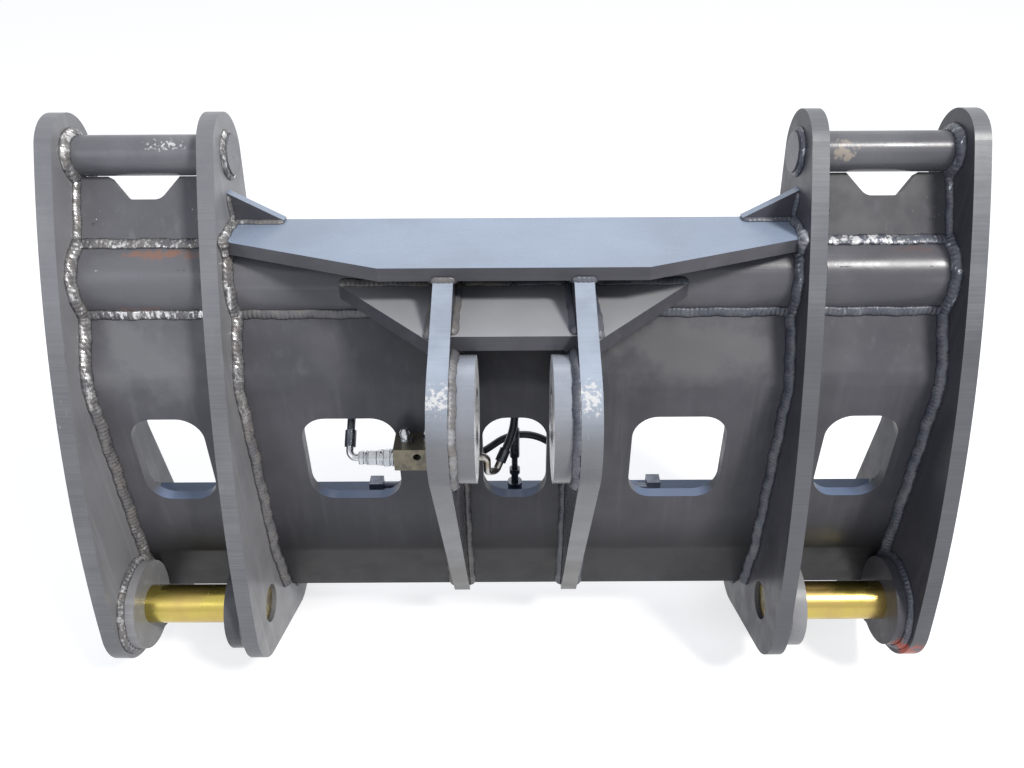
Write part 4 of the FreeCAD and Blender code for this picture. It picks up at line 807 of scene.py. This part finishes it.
@dataclass
class CrossMember:
    """Torsion tube, bent main plate and ledge."""

    plates: SidePlates
    tube_y: float = 252.0
    tube_z: float = 89.2
    tube_radius: float = 60.5
    face_y: float = 147.0
    thickness: float = 20.0
    upper_bend_z: float = -37.0
    lower_bend_z: float = -392.0
    upper_slope: float = 31.0
    lower_slope: float = 12.0
    lower_length: float = 114.0
    bend_radius: float = 45.0
    bend_steps: int = 5
    ledge_top: float = -340.0
    ledge_back: float = 269.0
    back_weld_top: float = -46.0
    ear_inside: float = 84.0
    ear_outside: float = 112.0

    RUST: ClassVar[Triple] = (0.30, 0.125, 0.06)
    # The first mark is painted light on the left half of the tube and the last painted shade on the right
    # half; the orange ones between are heat tint.
    TUBE_MARKS: ClassVar[tuple[Mark, ...]] = (
        Mark((-556.0, 200.0, 110.0), (112.0, 100.0, 100.0), (0.135, 0.135, 0.149), 0.9, 30.0, 0.1),
        Mark((-520.0, 226.0, 142.0), (75.0, 12.0, 8.0), RUST, 0.5),
        Mark((-560.0, 196.0, 66.0), (60.0, 14.0, 7.0), RUST, 0.25),
        Mark((590.0, 228.0, 143.0), (40.0, 10.0, 7.0), RUST, 0.25),
        Mark((560.0, 200.0, 110.0), (112.0, 100.0, 100.0), (0.078, 0.078, 0.088), 0.85, 30.0, 0.1))
    # Painted light: paler patches on the main plate where light falls.
    PAINTED_LIGHT_RIGHT: ClassVar[Mark] = Mark((270.0, 165.0, 8.0), (175.0, 70.0, 85.0), (0.120, 0.120, 0.125),
                                       0.85, 20.0, 0.3)
    PAINTED_LIGHT_LEFT: ClassVar[Mark] = Mark((-556.0, 165.0, 0.0), (120.0, 70.0, 95.0), (0.150, 0.150, 0.160),
                                      0.85, 20.0, 0.3)

    def dress(self) -> None:
        """Paint the tube, the plates and the ledge, with heat tint by the long weld, painted light and shade
        on the tube and main plate, a painted sky reflection on upward faces and painted shade low on the
        main plate.
        """
        dress(PrimerFinish("tube_primer", dark=(0.088, 0.088, 0.100), light=(0.130, 0.129, 0.143),
                           grain=Grain.ACROSS, scuff_amount=0.55, roughness=(0.22, 0.32),
                           marks=self.TUBE_MARKS), "torsion_tube")
        # Painted sky reflection on upward faces and painted shade on the lower flange.
        plate = PrimerFinish("main_plate_primer", scuff_amount=0.35, below=(0.012, 0.012, 0.013),
                             top=(0.13, 0.18, 0.29), marks=(self.PAINTED_LIGHT_RIGHT,))
        # Painted light: a lighter copy of the main plate's paint for the left plate.
        painted_light_plate = replace(plate, name="main_plate_primer_painted_light", dark=(0.082, 0.082, 0.093),
                        light=(0.112, 0.111, 0.124), below=(0.016, 0.016, 0.018), marks=(self.PAINTED_LIGHT_LEFT,))
        dress(plate, "main_plate_middle", "main_plate_right")
        dress(painted_light_plate, "main_plate_left")
        # Painted sky reflection on the ledge's upward faces.
        dress(PrimerFinish("ledge_primer", scuff_amount=0.35, top=(0.12, 0.17, 0.27)), "ledge_middle",
              *pair("ledge"))

    def tube_tangent(self, point: Vector, towards: Vector) -> Vector:
        """Direction along the tube's surface at a point.

        Args:
            point: point on the tube.
            towards: rough direction wanted.

        Returns:
            Unit tangent on that side.
        """
        radial = at(0.0, point.y - self.tube_y, point.z - self.tube_z).normalized()
        tangent = at(0.0, -radial.z, radial.y)
        return tangent if tangent.dot(towards) > 0 else -tangent

    def meets_tube(self, start: Vector, direction: Vector) -> Vector:
        """First point where a line in the YZ plane meets the tube.

        Args:
            start: point on the line.
            direction: unit direction.

        Returns:
            The meeting point.
        """
        to_start = at(0.0, start.y - self.tube_y, start.z - self.tube_z)
        half = to_start.dot(direction)
        reach = half * half - to_start.length_squared + self.tube_radius ** 2
        return start + direction * (-half - math.sqrt(max(reach, 0.0)))

    @staticmethod
    def front_normal(along: Vector) -> Vector:
        """Normal towards the front of a face that runs along a direction in the YZ plane."""
        return at(0.0, along.z, -along.y) if along.z < 0 else at(0.0, -along.z, along.y)

    def front_stations(self) -> list[tuple[Vector, Vector]]:
        """Points down the front face with its normals, bends included.

        Returns:
            Pairs of point and outward normal at X = 0.
        """
        upper, lower = math.radians(self.upper_slope), math.radians(self.lower_slope)
        bend_top, bend_low = at(0.0, self.face_y, self.upper_bend_z), at(0.0, self.face_y, self.lower_bend_z)
        rise = at(0.0, math.sin(upper), math.cos(upper))
        fall = at(0.0, math.sin(lower), -math.cos(lower))
        pairs = [(self.meets_tube(bend_top, rise), self.front_normal(rise))]
        for corner, before, after, turn in ((bend_top, rise, DOWN, upper), (bend_low, UP, fall, lower)):
            trim = self.bend_radius * math.tan(turn / 2)
            normal_in, normal_out = self.front_normal(before), self.front_normal(after)
            centre = corner + before * trim - normal_in * self.bend_radius
            for i in range(self.bend_steps):
                normal = normal_in.lerp(normal_out, i / self.bend_steps).normalized()
                pairs.append((centre + normal * self.bend_radius, normal))
            pairs.append((corner + after * trim, normal_out))
        pairs.append((bend_low + fall * self.lower_length, self.front_normal(fall)))
        return pairs

    def down_front(self, x: float, way: float, leg: float, seed: int) -> WeldRun:
        """Weld run down the front face beside a plate.

        Args:
            x: place of the plate's face.
            way: 1 or -1, direction away from that plate.
            leg: leg length.
            seed: seed of its unevenness.

        Returns:
            The weld run.
        """
        return WeldRun([Station(point + at(x), at(way), normal) for point, normal in self.front_stations()],
                       leg, seed)

    def welds(self, mesh: WeldMesh, side: Side) -> None:
        """Add the runs that hold the tube, the main plate and the ledge.

        Args:
            mesh: mesh that takes them.
            side: half of the coupler.
        """
        s, p = side.value, self.plates
        back_y = self.face_y + self.thickness
        for x, way, seed in ((p.inner_inside, -1, 11), (p.inner_outside, 1, 12), (p.outer_inside, -1, 13)):
            mesh.ring(at(s * x, self.tube_y, self.tube_z), self.tube_radius, s * way, leg=13.0, seed=seed)
            mesh.add(self.down_front(s * x, s * way, leg=13.5, seed=seed + 10))
            mesh.straight(at(s * x, back_y, self.back_weld_top), at(s * x, back_y, self.ledge_top + 10.0),
                          at(s * way), BACK, leg=9.0, seed=seed + 20)
            mesh.straight(at(s * x, back_y + 6.0, self.ledge_top),
                          at(s * x, self.ledge_back - 3.0, self.ledge_top), at(s * way), UP,
                          leg=8.0, seed=seed + 30)
        head, normal = self.front_stations()[0]
        down = at(0.0, -normal.z, normal.y)
        bay = (p.inner_outside, p.outer_inside)
        for seed, (start, end) in enumerate(((self.ear_outside, p.inner_inside), bay), start=41):
            mesh.straight(head + at(s * (start + 5.0)), head + at(s * (end - 5.0)), down,
                          self.tube_tangent(head, FRONT), leg=10.0, seed=seed)
        level = at(0.0, back_y, self.ledge_top)
        for seed, (start, end) in enumerate(((0.0, p.inner_inside), bay), start=45):
            mesh.straight(level + at(s * (start + 4.0)), level + at(s * (end - 4.0)), BACK, UP,
                          leg=8.0, seed=seed)


@dataclass
class HookBays:
    """Hook bars, the sloping plates behind them and their welds."""

    plates: SidePlates
    cross: CrossMember
    bar_y: float = 315.0
    bar_z: float = 263.0
    bar_radius: float = 30.0
    slope: float = 34.0
    setback: float = 5.0
    weld_start: float = 34.0
    spatter_angle: float = 142.0
    spatter_down: float = 95.0

    CHIPS: ClassVar[dict[Side, Mark]] = {
        Side.LEFT: Mark((-508.0, 294.0, 286.0), (34.0, 12.0, 8.0), (0.62, 0.62, 0.62), 0.8,
                        190.0, 1.2, 0.65),
        Side.RIGHT: Mark((484.0, 288.0, 272.0), (22.0, 14.0, 14.0), (0.36, 0.31, 0.26), 0.8, 80.0, 0.7)}
    # Painted shade: the right bar and, more, the right sloping plate are darker copies.
    PAINTED_SHADE_TONES: ClassVar[dict[Side, float]] = {Side.LEFT: 1.0, Side.RIGHT: 0.82}

    def dress(self) -> None:
        """Give the bars scuffed paint and the sloping plates plain primer, darker on the right as painted
        shade.
        """
        for side, shade_tone in self.PAINTED_SHADE_TONES.items():
            punch = Mark((side.value * (self.plates.inner_inside - 9.0), self.bar_y - 6.0, self.bar_z - 2.0),
                         (4.0, 2.6, 2.6), (0.01, 0.01, 0.01), 0.95, 70.0, 0.05)
            dress(PrimerFinish(f"hook_bar_primer_{side.word}", scaled((0.112, 0.113, 0.127), shade_tone),
                               scaled((0.165, 0.166, 0.182), shade_tone), (0.50, 0.50, 0.52), scuff_amount=0.75,
                               grain=Grain.ACROSS, roughness=(0.22, 0.32), marks=(self.CHIPS[side], punch)),
                  f"hook_bar_{side.word}")
            dress(PrimerFinish(f"sloping_plate_primer_{side.word}", scaled((0.100, 0.100, 0.112), shade_tone ** 3),
                               scaled((0.135, 0.134, 0.148), shade_tone ** 3), scuff_amount=0.55,
                               roughness=(0.50, 0.62), coat=0.0),
                  f"hook_back_plate_{side.word}")

    def slope_axes(self) -> tuple[Vector, Vector]:
        """Direction up the sloping plate, and out of its front face."""
        angle = math.radians(self.slope)
        return at(0.0, math.sin(angle), math.cos(angle)), at(0.0, -math.cos(angle), math.sin(angle))

    def spatter(self, mesh: WeldMesh, side: Side) -> None:
        """Add drops of weld metal on the tube and on the sloping plate.

        Args:
            mesh: mesh that takes them.
            side: half of the coupler.
        """
        angle = math.radians(self.spatter_angle)
        normal = at(0.0, math.cos(angle), math.sin(angle))
        top = at(0.0, self.cross.tube_y, self.cross.tube_z) + normal * self.cross.tube_radius
        for x, seed in ((497.0, 5), (488.0, 6), (620.0, 7)):
            mesh.spatter(top + at(side.value * x), at(4.0), normal, count=4, seed=seed)
        up, outward = self.slope_axes()
        face = at(0.0, self.bar_y, self.bar_z) - outward * self.setback - up * self.spatter_down
        for x, seed in ((630.0, 8), (470.0, 9)):
            mesh.spatter(face + at(side.value * x), up * 45.0 + at(12.0), outward, count=14, seed=seed)

    def welds(self, mesh: WeldMesh, side: Side) -> None:
        """Add the bay's weld runs.

        Args:
            mesh: mesh that takes them.
            side: half of the coupler.
        """
        s = side.value
        near, far = s * self.plates.inner_outside, s * self.plates.outer_inside
        bar = at(0.0, self.bar_y, self.bar_z)
        mesh.ring(bar + at(near), self.bar_radius, s, leg=12.0, seed=3)
        mesh.ring(bar + at(far), self.bar_radius, -s, leg=12.0, seed=4)
        mesh.ring(bar + at(s * self.plates.inner_inside), self.bar_radius, -s, leg=6.5, seed=5)
        up, outward = self.slope_axes()
        face = bar - outward * self.setback
        foot = self.cross.meets_tube(face - up * (2.0 * self.bar_radius), -up)
        for x, way, seed in ((near, s, 6), (far, -s, 7)):
            mesh.straight(face - up * self.weld_start + at(x), foot + at(x), at(way), outward,
                          leg=9.0, seed=seed)
        mesh.straight(foot + at(near) + at(s * 6.0), foot + at(far) - at(s * 6.0), up,
                      self.cross.tube_tangent(foot, FRONT), leg=10.0, seed=8)


@dataclass
class Shelves:
    """Top shelf with its gussets, lower shelf and wings."""

    plates: SidePlates
    cross: CrossMember
    top_z: float = 170.0
    under_z: float = 150.0
    corner_y: float = 211.0
    back_y: float = 291.0
    gusset_front: float = 276.0
    gusset_length: float = 79.0
    gusset_height: float = 44.0
    lower_top_z: float = 107.0
    lower_thickness: float = 22.0
    lower_front_y: float = 40.0
    wing_front_y: float = 27.0
    wing_back_x: float = 260.0
    under_weld: Range = (120.0, 218.0)
    front_y: float = 118.0
    half_front: float = 188.0

    def dress(self) -> None:
        """Paint the shelves, with scuffs; their tops are paler: a painted sky reflection on the top shelf
        and painted light on the lower shelf and wings.
        """
        # Painted sky reflection on the top shelf's upward faces.
        top = PrimerFinish("shelf_primer", top=(0.27, 0.33, 0.43), grain=Grain.ACROSS, scuff_amount=0.4,
                           roughness=(0.24, 0.34))
        dress(top, "top_shelf", *pair("shelf_gusset"))
        # Painted light on the lower shelf's and wings' upward faces.
        dress(replace(top, name="lower_shelf_primer", top=(0.34, 0.345, 0.36), scuff_amount=0.5,
                      roughness=(0.28, 0.40)), "mid_shelf", *pair("shelf_wing"))

    def corner_glint(self) -> Mark:
        """Painted highlight: a bright patch on the lump of weld at the right front corner of the top shelf.
        """
        return Mark((self.plates.inner_inside, self.corner_y, self.top_z), (19.0, 17.0, 17.0),
                    (0.60, 0.61, 0.64), 0.85, 70.0, 0.35)

    def welds(self, mesh: WeldMesh, side: Side) -> None:
        """Add the shelves' weld runs.

        Args:
            mesh: mesh that takes them.
            side: half of the coupler.
        """
        self.weld_top(mesh, side.value)
        self.weld_lower(mesh, side.value)
        self.weld_front(mesh, side.value)

    def weld_top(self, mesh: WeldMesh, s: int) -> None:
        """Add the runs of the top shelf and its gusset.

        Args:
            mesh: mesh that takes them.
            s: -1 on the left, 1 on the right.
        """
        x = s * self.plates.inner_inside
        root = at(x, self.gusset_front, self.top_z)
        mesh.straight(at(x, self.corner_y - 5.0, self.top_z), root, at(-s), UP, leg=10.0, seed=51)
        mesh.straight(at(x, self.corner_y, self.under_z), at(x, self.back_y, self.under_z),
                      at(-s), DOWN, leg=9.0, seed=52)
        mesh.straight(root, root - at(s * self.gusset_length), FRONT, UP, leg=6.0, seed=53)
        mesh.straight(root, root + UP * self.gusset_height, FRONT, at(-s), leg=6.0, seed=54)

    def weld_lower(self, mesh: WeldMesh, s: int) -> None:
        """Add the runs of the lower shelf and its wing.

        Args:
            mesh: mesh that takes them.
            s: -1 on the left, 1 on the right.
        """
        meeting = self.cross.meets_tube(at(0.0, self.lower_front_y, self.lower_top_z), BACK)
        climb = self.cross.tube_tangent(meeting, UP)
        inside, outside = s * self.cross.ear_inside, s * self.cross.ear_outside
        back_y = meeting.y - 4.0
        mesh.straight(meeting, meeting + at(inside - s * 6.0), FRONT, climb, leg=9.0, seed=55)
        mesh.straight(meeting + at(outside + s * 6.0), meeting + at(s * self.wing_back_x),
                      FRONT, climb, leg=9.0, seed=56)
        mesh.straight(at(inside, self.lower_front_y + 4.0, self.lower_top_z),
                      at(inside, back_y, self.lower_top_z), at(-s), UP, leg=9.0, seed=57)
        under = self.lower_top_z - self.lower_thickness
        for z, along, leg, seed in ((self.lower_top_z, UP, 10.0, 58), (under, DOWN, 8.0, 59)):
            mesh.straight(at(outside, self.wing_front_y + 6.0, z), at(outside, back_y, z),
                          at(s), along, leg, seed)
        for x, way, seed in ((inside, -s, 60), (outside, s, 61)):
            front, back = (at(x, y, self.under_z) for y in self.under_weld)
            mesh.straight(front, back, at(way), DOWN, leg=9.0, seed=seed)

    def weld_front(self, mesh: WeldMesh, s: int) -> None:
        """Add the runs at the top shelf's front corner and over the ear.

        Args:
            mesh: mesh that takes them.
            s: -1 on the left, 1 on the right.
        """
        corner = at(s * self.plates.inner_inside, self.corner_y)
        chamfer = (at(s * self.half_front, self.front_y) - corner).normalized()
        for low, high, leg, seed in ((self.under_z - 6.0, self.top_z + 8.0, 11.0, 62),
                                     (self.top_z - 12.0, self.top_z + 10.0, 15.0, 63)):
            mesh.straight(corner + at(z=low), corner + at(z=high), chamfer, FRONT, leg, seed)
        cap = at(0.0, self.front_y - 0.5, self.under_z + 1.0)
        inside, outside = s * self.cross.ear_inside, s * self.cross.ear_outside
        mesh.straight(cap + at(inside - s * 3.0), cap + at(outside + s * 3.0),
                      at(0.0, -0.25, 0.97), at(0.0, -0.25, -0.97), leg=7.0, seed=63)


@dataclass
class TiltLinkEars:
    """Ears, bosses and bushes of the tilt link."""

    cross: CrossMember
    boss_radius: float = 88.0

    def dress(self) -> None:
        """Paint the ears and bosses, with a painted sky reflection on their upper edges and painted shade
        low on the ears, and leave the bushes bare.
        """
        scuffs = tuple(Mark((s.value * 98.0, -60.0, 77.0), (19.0, 22.0, 20.0), (0.62, 0.61, 0.60),
                            0.8, 170.0, 1.0, 0.35) for s in Side)
        # Painted sky reflection on the upper edges and painted shade low down.
        dress(PrimerFinish("ear_primer", edge=(0.185, 0.19, 0.205), edge_reflection_above=(0.36, 0.41, 0.49),
                           below=(0.085, 0.08, 0.075), roughness=(0.22, 0.34), mill=0.08, scuff_amount=0.6,
                           marks=scuffs), *pair("link_ear"))
        # Painted sky reflection on the bosses' upper rims; the machined faces are bare steel.
        dress(PrimerFinish("boss_primer", edge=(0.20, 0.205, 0.22), edge_reflection_above=(0.34, 0.37, 0.43),
                           face=(0.62, 0.63, 0.65), roughness=(0.20, 0.32), mill=0.08, scuff_amount=0.7),
              *pair("link_boss"))
        dress(MetalFinish("bush_steel", (0.62, 0.62, 0.64), (0.34, 0.33, 0.32), 40.0), *pair("link_bush"))

    def welds(self, mesh: WeldMesh, side: Side) -> None:
        """Add the ears' weld runs.

        Args:
            mesh: mesh that takes them.
            side: half of the coupler.
        """
        s = side.value
        inside, outside = s * self.cross.ear_inside, s * self.cross.ear_outside
        mesh.ring(at(inside), self.boss_radius, -s, leg=10.0, seed=71)
        mesh.add(self.cross.down_front(outside, s, leg=11.0, seed=72))
        mesh.add(self.cross.down_front(inside, -s, leg=10.0, seed=73))


@dataclass
class LiftArmSeats:
    """Gold pins, their collars and keeper bolts."""

    plates: SidePlates
    pin_y: float = 84.0
    pin_z: float = -459.0
    collar_radius: float = 75.0

    def dress(self) -> None:
        """Plate the pins, with painted shade on their ends in the inner plates' bores, and paint the
        collars: the two that face the light are a lighter copy as painted light, and one has a little
        overspray.
        """
        # Painted shade: the pin ends darken where they sit in the inner plates' bores.
        bore_shade = tuple(Mark((s.value * (self.plates.inner_inside - 3.0), self.pin_y, self.pin_z),
                         (22.0, 48.0, 48.0), (0.03, 0.028, 0.02), 0.95, 60.0, 0.15) for s in Side)
        dress(MetalFinish("pin_gold_zinc", (0.54, 0.45, 0.11), (0.48, 0.33, 0.13), 9.0,
                          roughness=(0.22, 0.36), grain=Grain.ACROSS, marks=bore_shade), *pair("lift_pin"))
        dress(MetalFinish("bolt_zinc", (0.62, 0.63, 0.66), (0.42, 0.40, 0.36), 60.0), *pair("keeper_bolt"))
        collar = PrimerFinish("collar_primer", scuff_amount=0.6, grain=Grain.ACROSS)
        dress(collar, "inner_collar_left")
        # Painted light: a lighter copy of the collar paint for the two collars that face the light.
        dress(replace(collar, name="collar_primer_painted_light", dark=(0.210, 0.210, 0.220),
                      light=(0.275, 0.274, 0.285)), "outer_collar_left", "inner_collar_right")
        dress(replace(collar, name="collar_primer_oversprayed", marks=(OVERSPRAY,)), "outer_collar_right")

    def welds(self, mesh: WeldMesh, side: Side) -> None:
        """Add the runs about the collars.

        Args:
            mesh: mesh that takes them.
            side: half of the coupler.
        """
        s = side.value
        for x, way, seed in ((self.plates.inner_outside, s, 81), (self.plates.outer_inside, -s, 82)):
            mesh.ring(at(s * x, self.pin_y, self.pin_z), self.collar_radius, way, leg=9.0, seed=seed)


@dataclass
class LockGear:
    """Lock pins, their cylinders and the anchor."""

    plates: SidePlates
    lock_y: float = 262.0
    lock_z: float = -540.0
    housing_radius: float = 39.0

    def dress(self) -> None:
        """Finish the moving and fixed pieces of the lock."""
        dress(MetalFinish("lock_pin_steel", (0.42, 0.43, 0.45), (0.24, 0.22, 0.21), 22.0,
                          grain=Grain.ACROSS), *pair("lock_pin"))
        dress(MetalFinish("rod_chrome", (0.80, 0.81, 0.83), (0.70, 0.71, 0.74), 12.0, roughness=(0.06, 0.14),
                          grain=Grain.ACROSS), *pair("lock_rod"))
        dress(PrimerFinish("cylinder_primer", scuff_amount=0.35, grain=Grain.ACROSS), "cylinder_anchor",
              *pair("lock_barrel", "lock_housing"))
        dress(MetalFinish("gland_zinc", (0.60, 0.61, 0.63), (0.40, 0.38, 0.33), 60.0), *pair("lock_gland"))

    def welds(self, mesh: WeldMesh, side: Side) -> None:
        """Add the run about the pin's housing.

        Args:
            mesh: mesh that takes it.
            side: half of the coupler.
        """
        s = side.value
        foot = at(s * self.plates.inner_inside, self.lock_y, self.lock_z)
        mesh.ring(foot, self.housing_radius, -s, leg=8.0, seed=91)


@dataclass
class Hydraulics:
    """Valve block, fittings, hoses and pipes."""

    line_y: float = 117.0
    line_z: float = -160.5
    block_end: float = -190.0
    chamfer: float = 1.3
    chamfer_run: float = 1.1

    ZINC: ClassVar[MetalFinish] = MetalFinish("fitting_zinc", (0.50, 0.52, 0.55), (0.36, 0.38, 0.41), 40.0,
                                              roughness=(0.12, 0.24), line_depth=0.1)
    # Near end and far end from the block, radius over the corners, and number of sides
    NUTS: ClassVar[tuple[tuple[float, float, float, int], ...]] = (
        (0.5, 5.0, 14.2, 24), (6.0, 17.0, 15.6, 6), (18.0, 23.0, 13.2, 24), (27.5, 41.5, 13.0, 6),
        (42.5, 46.0, 11.6, 24), (48.0, 56.0, 12.2, 6))

    def nuts(self) -> None:
        """Make the chamfered nuts and the lock rings on the block's left fitting."""
        mesh = bmesh.new()
        for near, far, radius, sides in self.NUTS:
            self.nut(mesh, self.block_end - near, self.block_end - far, radius, sides)
        data = bpy.data.meshes.new("fitting_nuts")
        mesh.to_mesh(data)
        mesh.free()
        piece = new_piece(data, self.ZINC)
        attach(piece, "frame")

    def nut(self, mesh: bmesh.types.BMesh, start: float, end: float, radius: float, sides: int) -> None:
        """Add one nut or ring about the line of the block's side ports.

        Args:
            mesh: mesh that takes it.
            start: end nearer the block.
            end: end further from the block.
            radius: radius over its corners.
            sides: number of sides.
        """
        loops = []
        for x, r in ((start, radius - self.chamfer), (start - self.chamfer_run, radius),
                     (end + self.chamfer_run, radius), (end, radius - self.chamfer)):
            angles = [math.tau * (k + 0.5) / sides for k in range(sides)]
            places = [at(x, self.line_y + r * math.cos(a), self.line_z + r * math.sin(a)) for a in angles]
            loops.append([mesh.verts.new(place * MM) for place in places])
        for first, last in zip(loops, loops[1:]):
            for k in range(sides):
                j = (k + 1) % sides
                mesh.faces.new((first[k], first[j], last[j], last[k]))
        mesh.faces.new(loops[0][::-1])
        mesh.faces.new(loops[-1])

    def dress(self) -> None:
        """Finish the block, the fittings and the hoses."""
        dress(MetalFinish("block_yellow_zinc", (0.20, 0.18, 0.13), (0.12, 0.112, 0.095), 60.0, 0.7,
                          (0.36, 0.54)), "valve_block")
        dress(self.ZINC, "left_fitting", "valve_cartridges", "block_screws")
        dress(MetalFinish("pipe_zinc", (0.50, 0.50, 0.48), (0.30, 0.24, 0.17), 50.0, roughness=(0.28, 0.44)),
              "right_fitting", "cap_line")
        # Painted shade: the ledge ports are dark and bluish.
        dress(MetalFinish("port_zinc_painted_shade", (0.16, 0.18, 0.23), (0.10, 0.11, 0.14), 50.0, 0.5, (0.34, 0.5)),
              *pair("ledge_port"))
        dress(MetalFinish("plug_oxide", (0.05, 0.05, 0.055), (0.02, 0.02, 0.02), 60.0, 0.6), "block_plug")
        dress(MetalFinish("sleeve_dark", (0.085, 0.095, 0.115), (0.16, 0.17, 0.19), 60.0, 0.8),
              "hose_ferrules", "centre_riser")
        dress(RubberFinish("hose_rubber"), "hose_riser", "hose_tee", "hose_cross")


# Studio


@dataclass
class Studio:
    """Floor, soft light and the camera at the photo's angle."""

    floor_z: float = -626.0
    floor_drop: float = 0.5
    floor_half: float = 9.0
    floor_glow: float = 0.66
    sky_strength: float = 0.62
    camera_place: Triple = (0.0, -930.7, 685.3)
    pitch: float = 34.0
    roll: float = -0.32
    focal_pixels: float = 845.0
    image_width: float = 1024.0
    sensor: float = 36.0
    off_centre: float = -0.0022
    aim: Triple = (0.0, 0.1, -0.1)

    WHITE: ClassVar[tuple[float, ...]] = (1.0, 1.0, 1.0, 1.0)

    def place_camera(self) -> None:
        """Make the camera and set it as the scene's."""
        data = bpy.data.cameras.new("photo_camera")
        data.sensor_width = self.sensor
        data.lens = self.sensor * self.focal_pixels / self.image_width
        data.shift_x = self.off_centre
        data.clip_start = 0.05
        camera = bpy.data.objects.new("photo_camera", data)
        turn = Matrix.Rotation(math.radians(90.0 - self.pitch), 4, "X") @ Matrix.Rotation(
            math.radians(self.roll), 4, "Z")
        camera.matrix_world = Matrix.Translation(Vector(self.camera_place) * MM) @ turn
        bpy.context.scene.collection.objects.link(camera)
        bpy.context.scene.camera = camera

    @staticmethod
    def show(board: NodeBoard, lit: Node, seen: Node, output: str) -> None:
        """Send one shader to the light and another to the camera, to metal and through glass.

        Args:
            board: node board of the floor or the sky.
            lit: shader that lights the coupler.
            seen: shader that shows as the background.
            output: name of the output node.
        """
        path = board.add("ShaderNodeLightPath").outputs
        rays = board.maths("MAXIMUM", path["Is Camera Ray"], path["Is Glossy Ray"])
        rays = board.maths("MAXIMUM", rays, path["Is Transmission Ray"])
        pick = board.add("ShaderNodeMixShader", {0: rays, 1: lit.outputs[0], 2: seen.outputs[0]})
        board.feed(board.nodes[output], {0: pick.outputs[0]})

    def lay_floor(self) -> None:
        """Make the pale floor, which keeps the object's shadow."""
        half, z = self.floor_half, (self.floor_z - self.floor_drop) * MM
        mesh = bpy.data.meshes.new("floor")
        mesh.from_pydata([(-half, -half, z), (half, -half, z), (half, half, z), (-half, half, z)], [],
                         [(0, 1, 2, 3)])
        floor = bpy.data.objects.new("floor", mesh)
        bpy.context.scene.collection.objects.link(floor)
        board = NodeBoard(bpy.data.materials.new("floor_white"))
        board.feed(board.shader, {"Base Color": (0.50, 0.50, 0.51, 1.0), "Roughness": 0.9,
                                  "Specular IOR Level": 0.0})
        glow = board.add("ShaderNodeEmission", {"Color": self.WHITE, "Strength": self.floor_glow})
        glowing = board.add("ShaderNodeAddShader", {0: board.shader.outputs[0], 1: glow.outputs[0]})
        self.show(board, board.shader, glowing, "Material Output")
        mesh.materials.append(board.owner)

    def light(self) -> None:
        """Hang the soft lamps and set the sky."""
        board = NodeBoard(bpy.data.worlds.new("studio_sky"))
        sky = board.nodes["Background"]
        board.feed(sky, {"Color": (0.86, 0.91, 1.0, 1.0), "Strength": self.sky_strength})
        white = board.add("ShaderNodeBackground", {"Color": self.WHITE, "Strength": 1.0})
        self.show(board, sky, white, "World Output")
        bpy.context.scene.world = board.owner
        self.lamp("key", (3.0, -2.6, 4.4), power=330.0, size=1.0, colour=(1.0, 0.975, 0.94))
        self.lamp("fill", (-2.8, -2.4, 1.8), power=26.0, size=2.0, colour=(0.90, 0.94, 1.0))
        self.lamp("back", (0.0, 2.8, 2.6), power=22.0, size=2.0, colour=(1.0, 1.0, 1.0))

    def lamp(self, name: str, place: Triple, power: float, size: float, colour: Triple) -> None:
        """Hang one soft lamp that looks at the coupler.

        Args:
            name: name of the lamp.
            place: where it hangs, in metres.
            power: power in watts.
            size: width of its face in metres.
            colour: colour of its light.
        """
        data = bpy.data.lights.new(name, "AREA")
        data.energy = power
        data.size = size
        data.color = colour
        lamp = bpy.data.objects.new(name, data)
        look = (Vector(self.aim) - Vector(place)).to_track_quat("-Z", "Y")
        lamp.matrix_world = Matrix.Translation(Vector(place)) @ look.to_matrix().to_4x4()
        bpy.context.scene.collection.objects.link(lamp)

    def build(self) -> None:
        """Set up the whole studio."""
        self.place_camera()
        self.lay_floor()
        self.light()
        bpy.context.scene.view_settings.view_transform = "Standard"
        LOG.info("studio ready")


def main() -> None:
    """Dress every piece, add the welds and set up the studio."""
    logging.basicConfig(level=logging.INFO, format="%(name)s %(message)s")
    Studio().build()
    plates = SidePlates()
    cross = CrossMember(plates)
    bays = HookBays(plates, cross)
    shelves = Shelves(plates, cross)
    welded = (bays, cross, shelves, TiltLinkEars(cross), LiftArmSeats(plates), LockGear(plates))
    hydraulics = Hydraulics()
    for assembly in (plates, *welded, hydraulics):
        assembly.dress()
    hydraulics.nuts()
    # Painted highlight: the left welds carry more bright flecks, where light falls.
    bright = WeldFinish("weld_painted_light", bare_share=0.85, marks=(BOSS_FLECKS, COLLAR_FLECKS))
    # Painted shade: the right welds are darker and bluish, with fewer bright flecks.
    shaded_welds = WeldFinish("weld_painted_shade", (0.075, 0.082, 0.105), (0.50, 0.52, 0.56), tint=(0.12, 0.125, 0.145),
                       bare_share=0.35, glint_above=0.05,
                       marks=(OVERSPRAY, shelves.corner_glint(), SEAM_FLECKS))
    for side, finish in ((Side.LEFT, bright), (Side.RIGHT, shaded_welds)):
        mesh = WeldMesh(f"welds_{side.word}", finish)
        for assembly in welded:
            assembly.welds(mesh, side)
        bays.spatter(mesh, side)
        mesh.build()


if __name__ == "__main__":
    main()
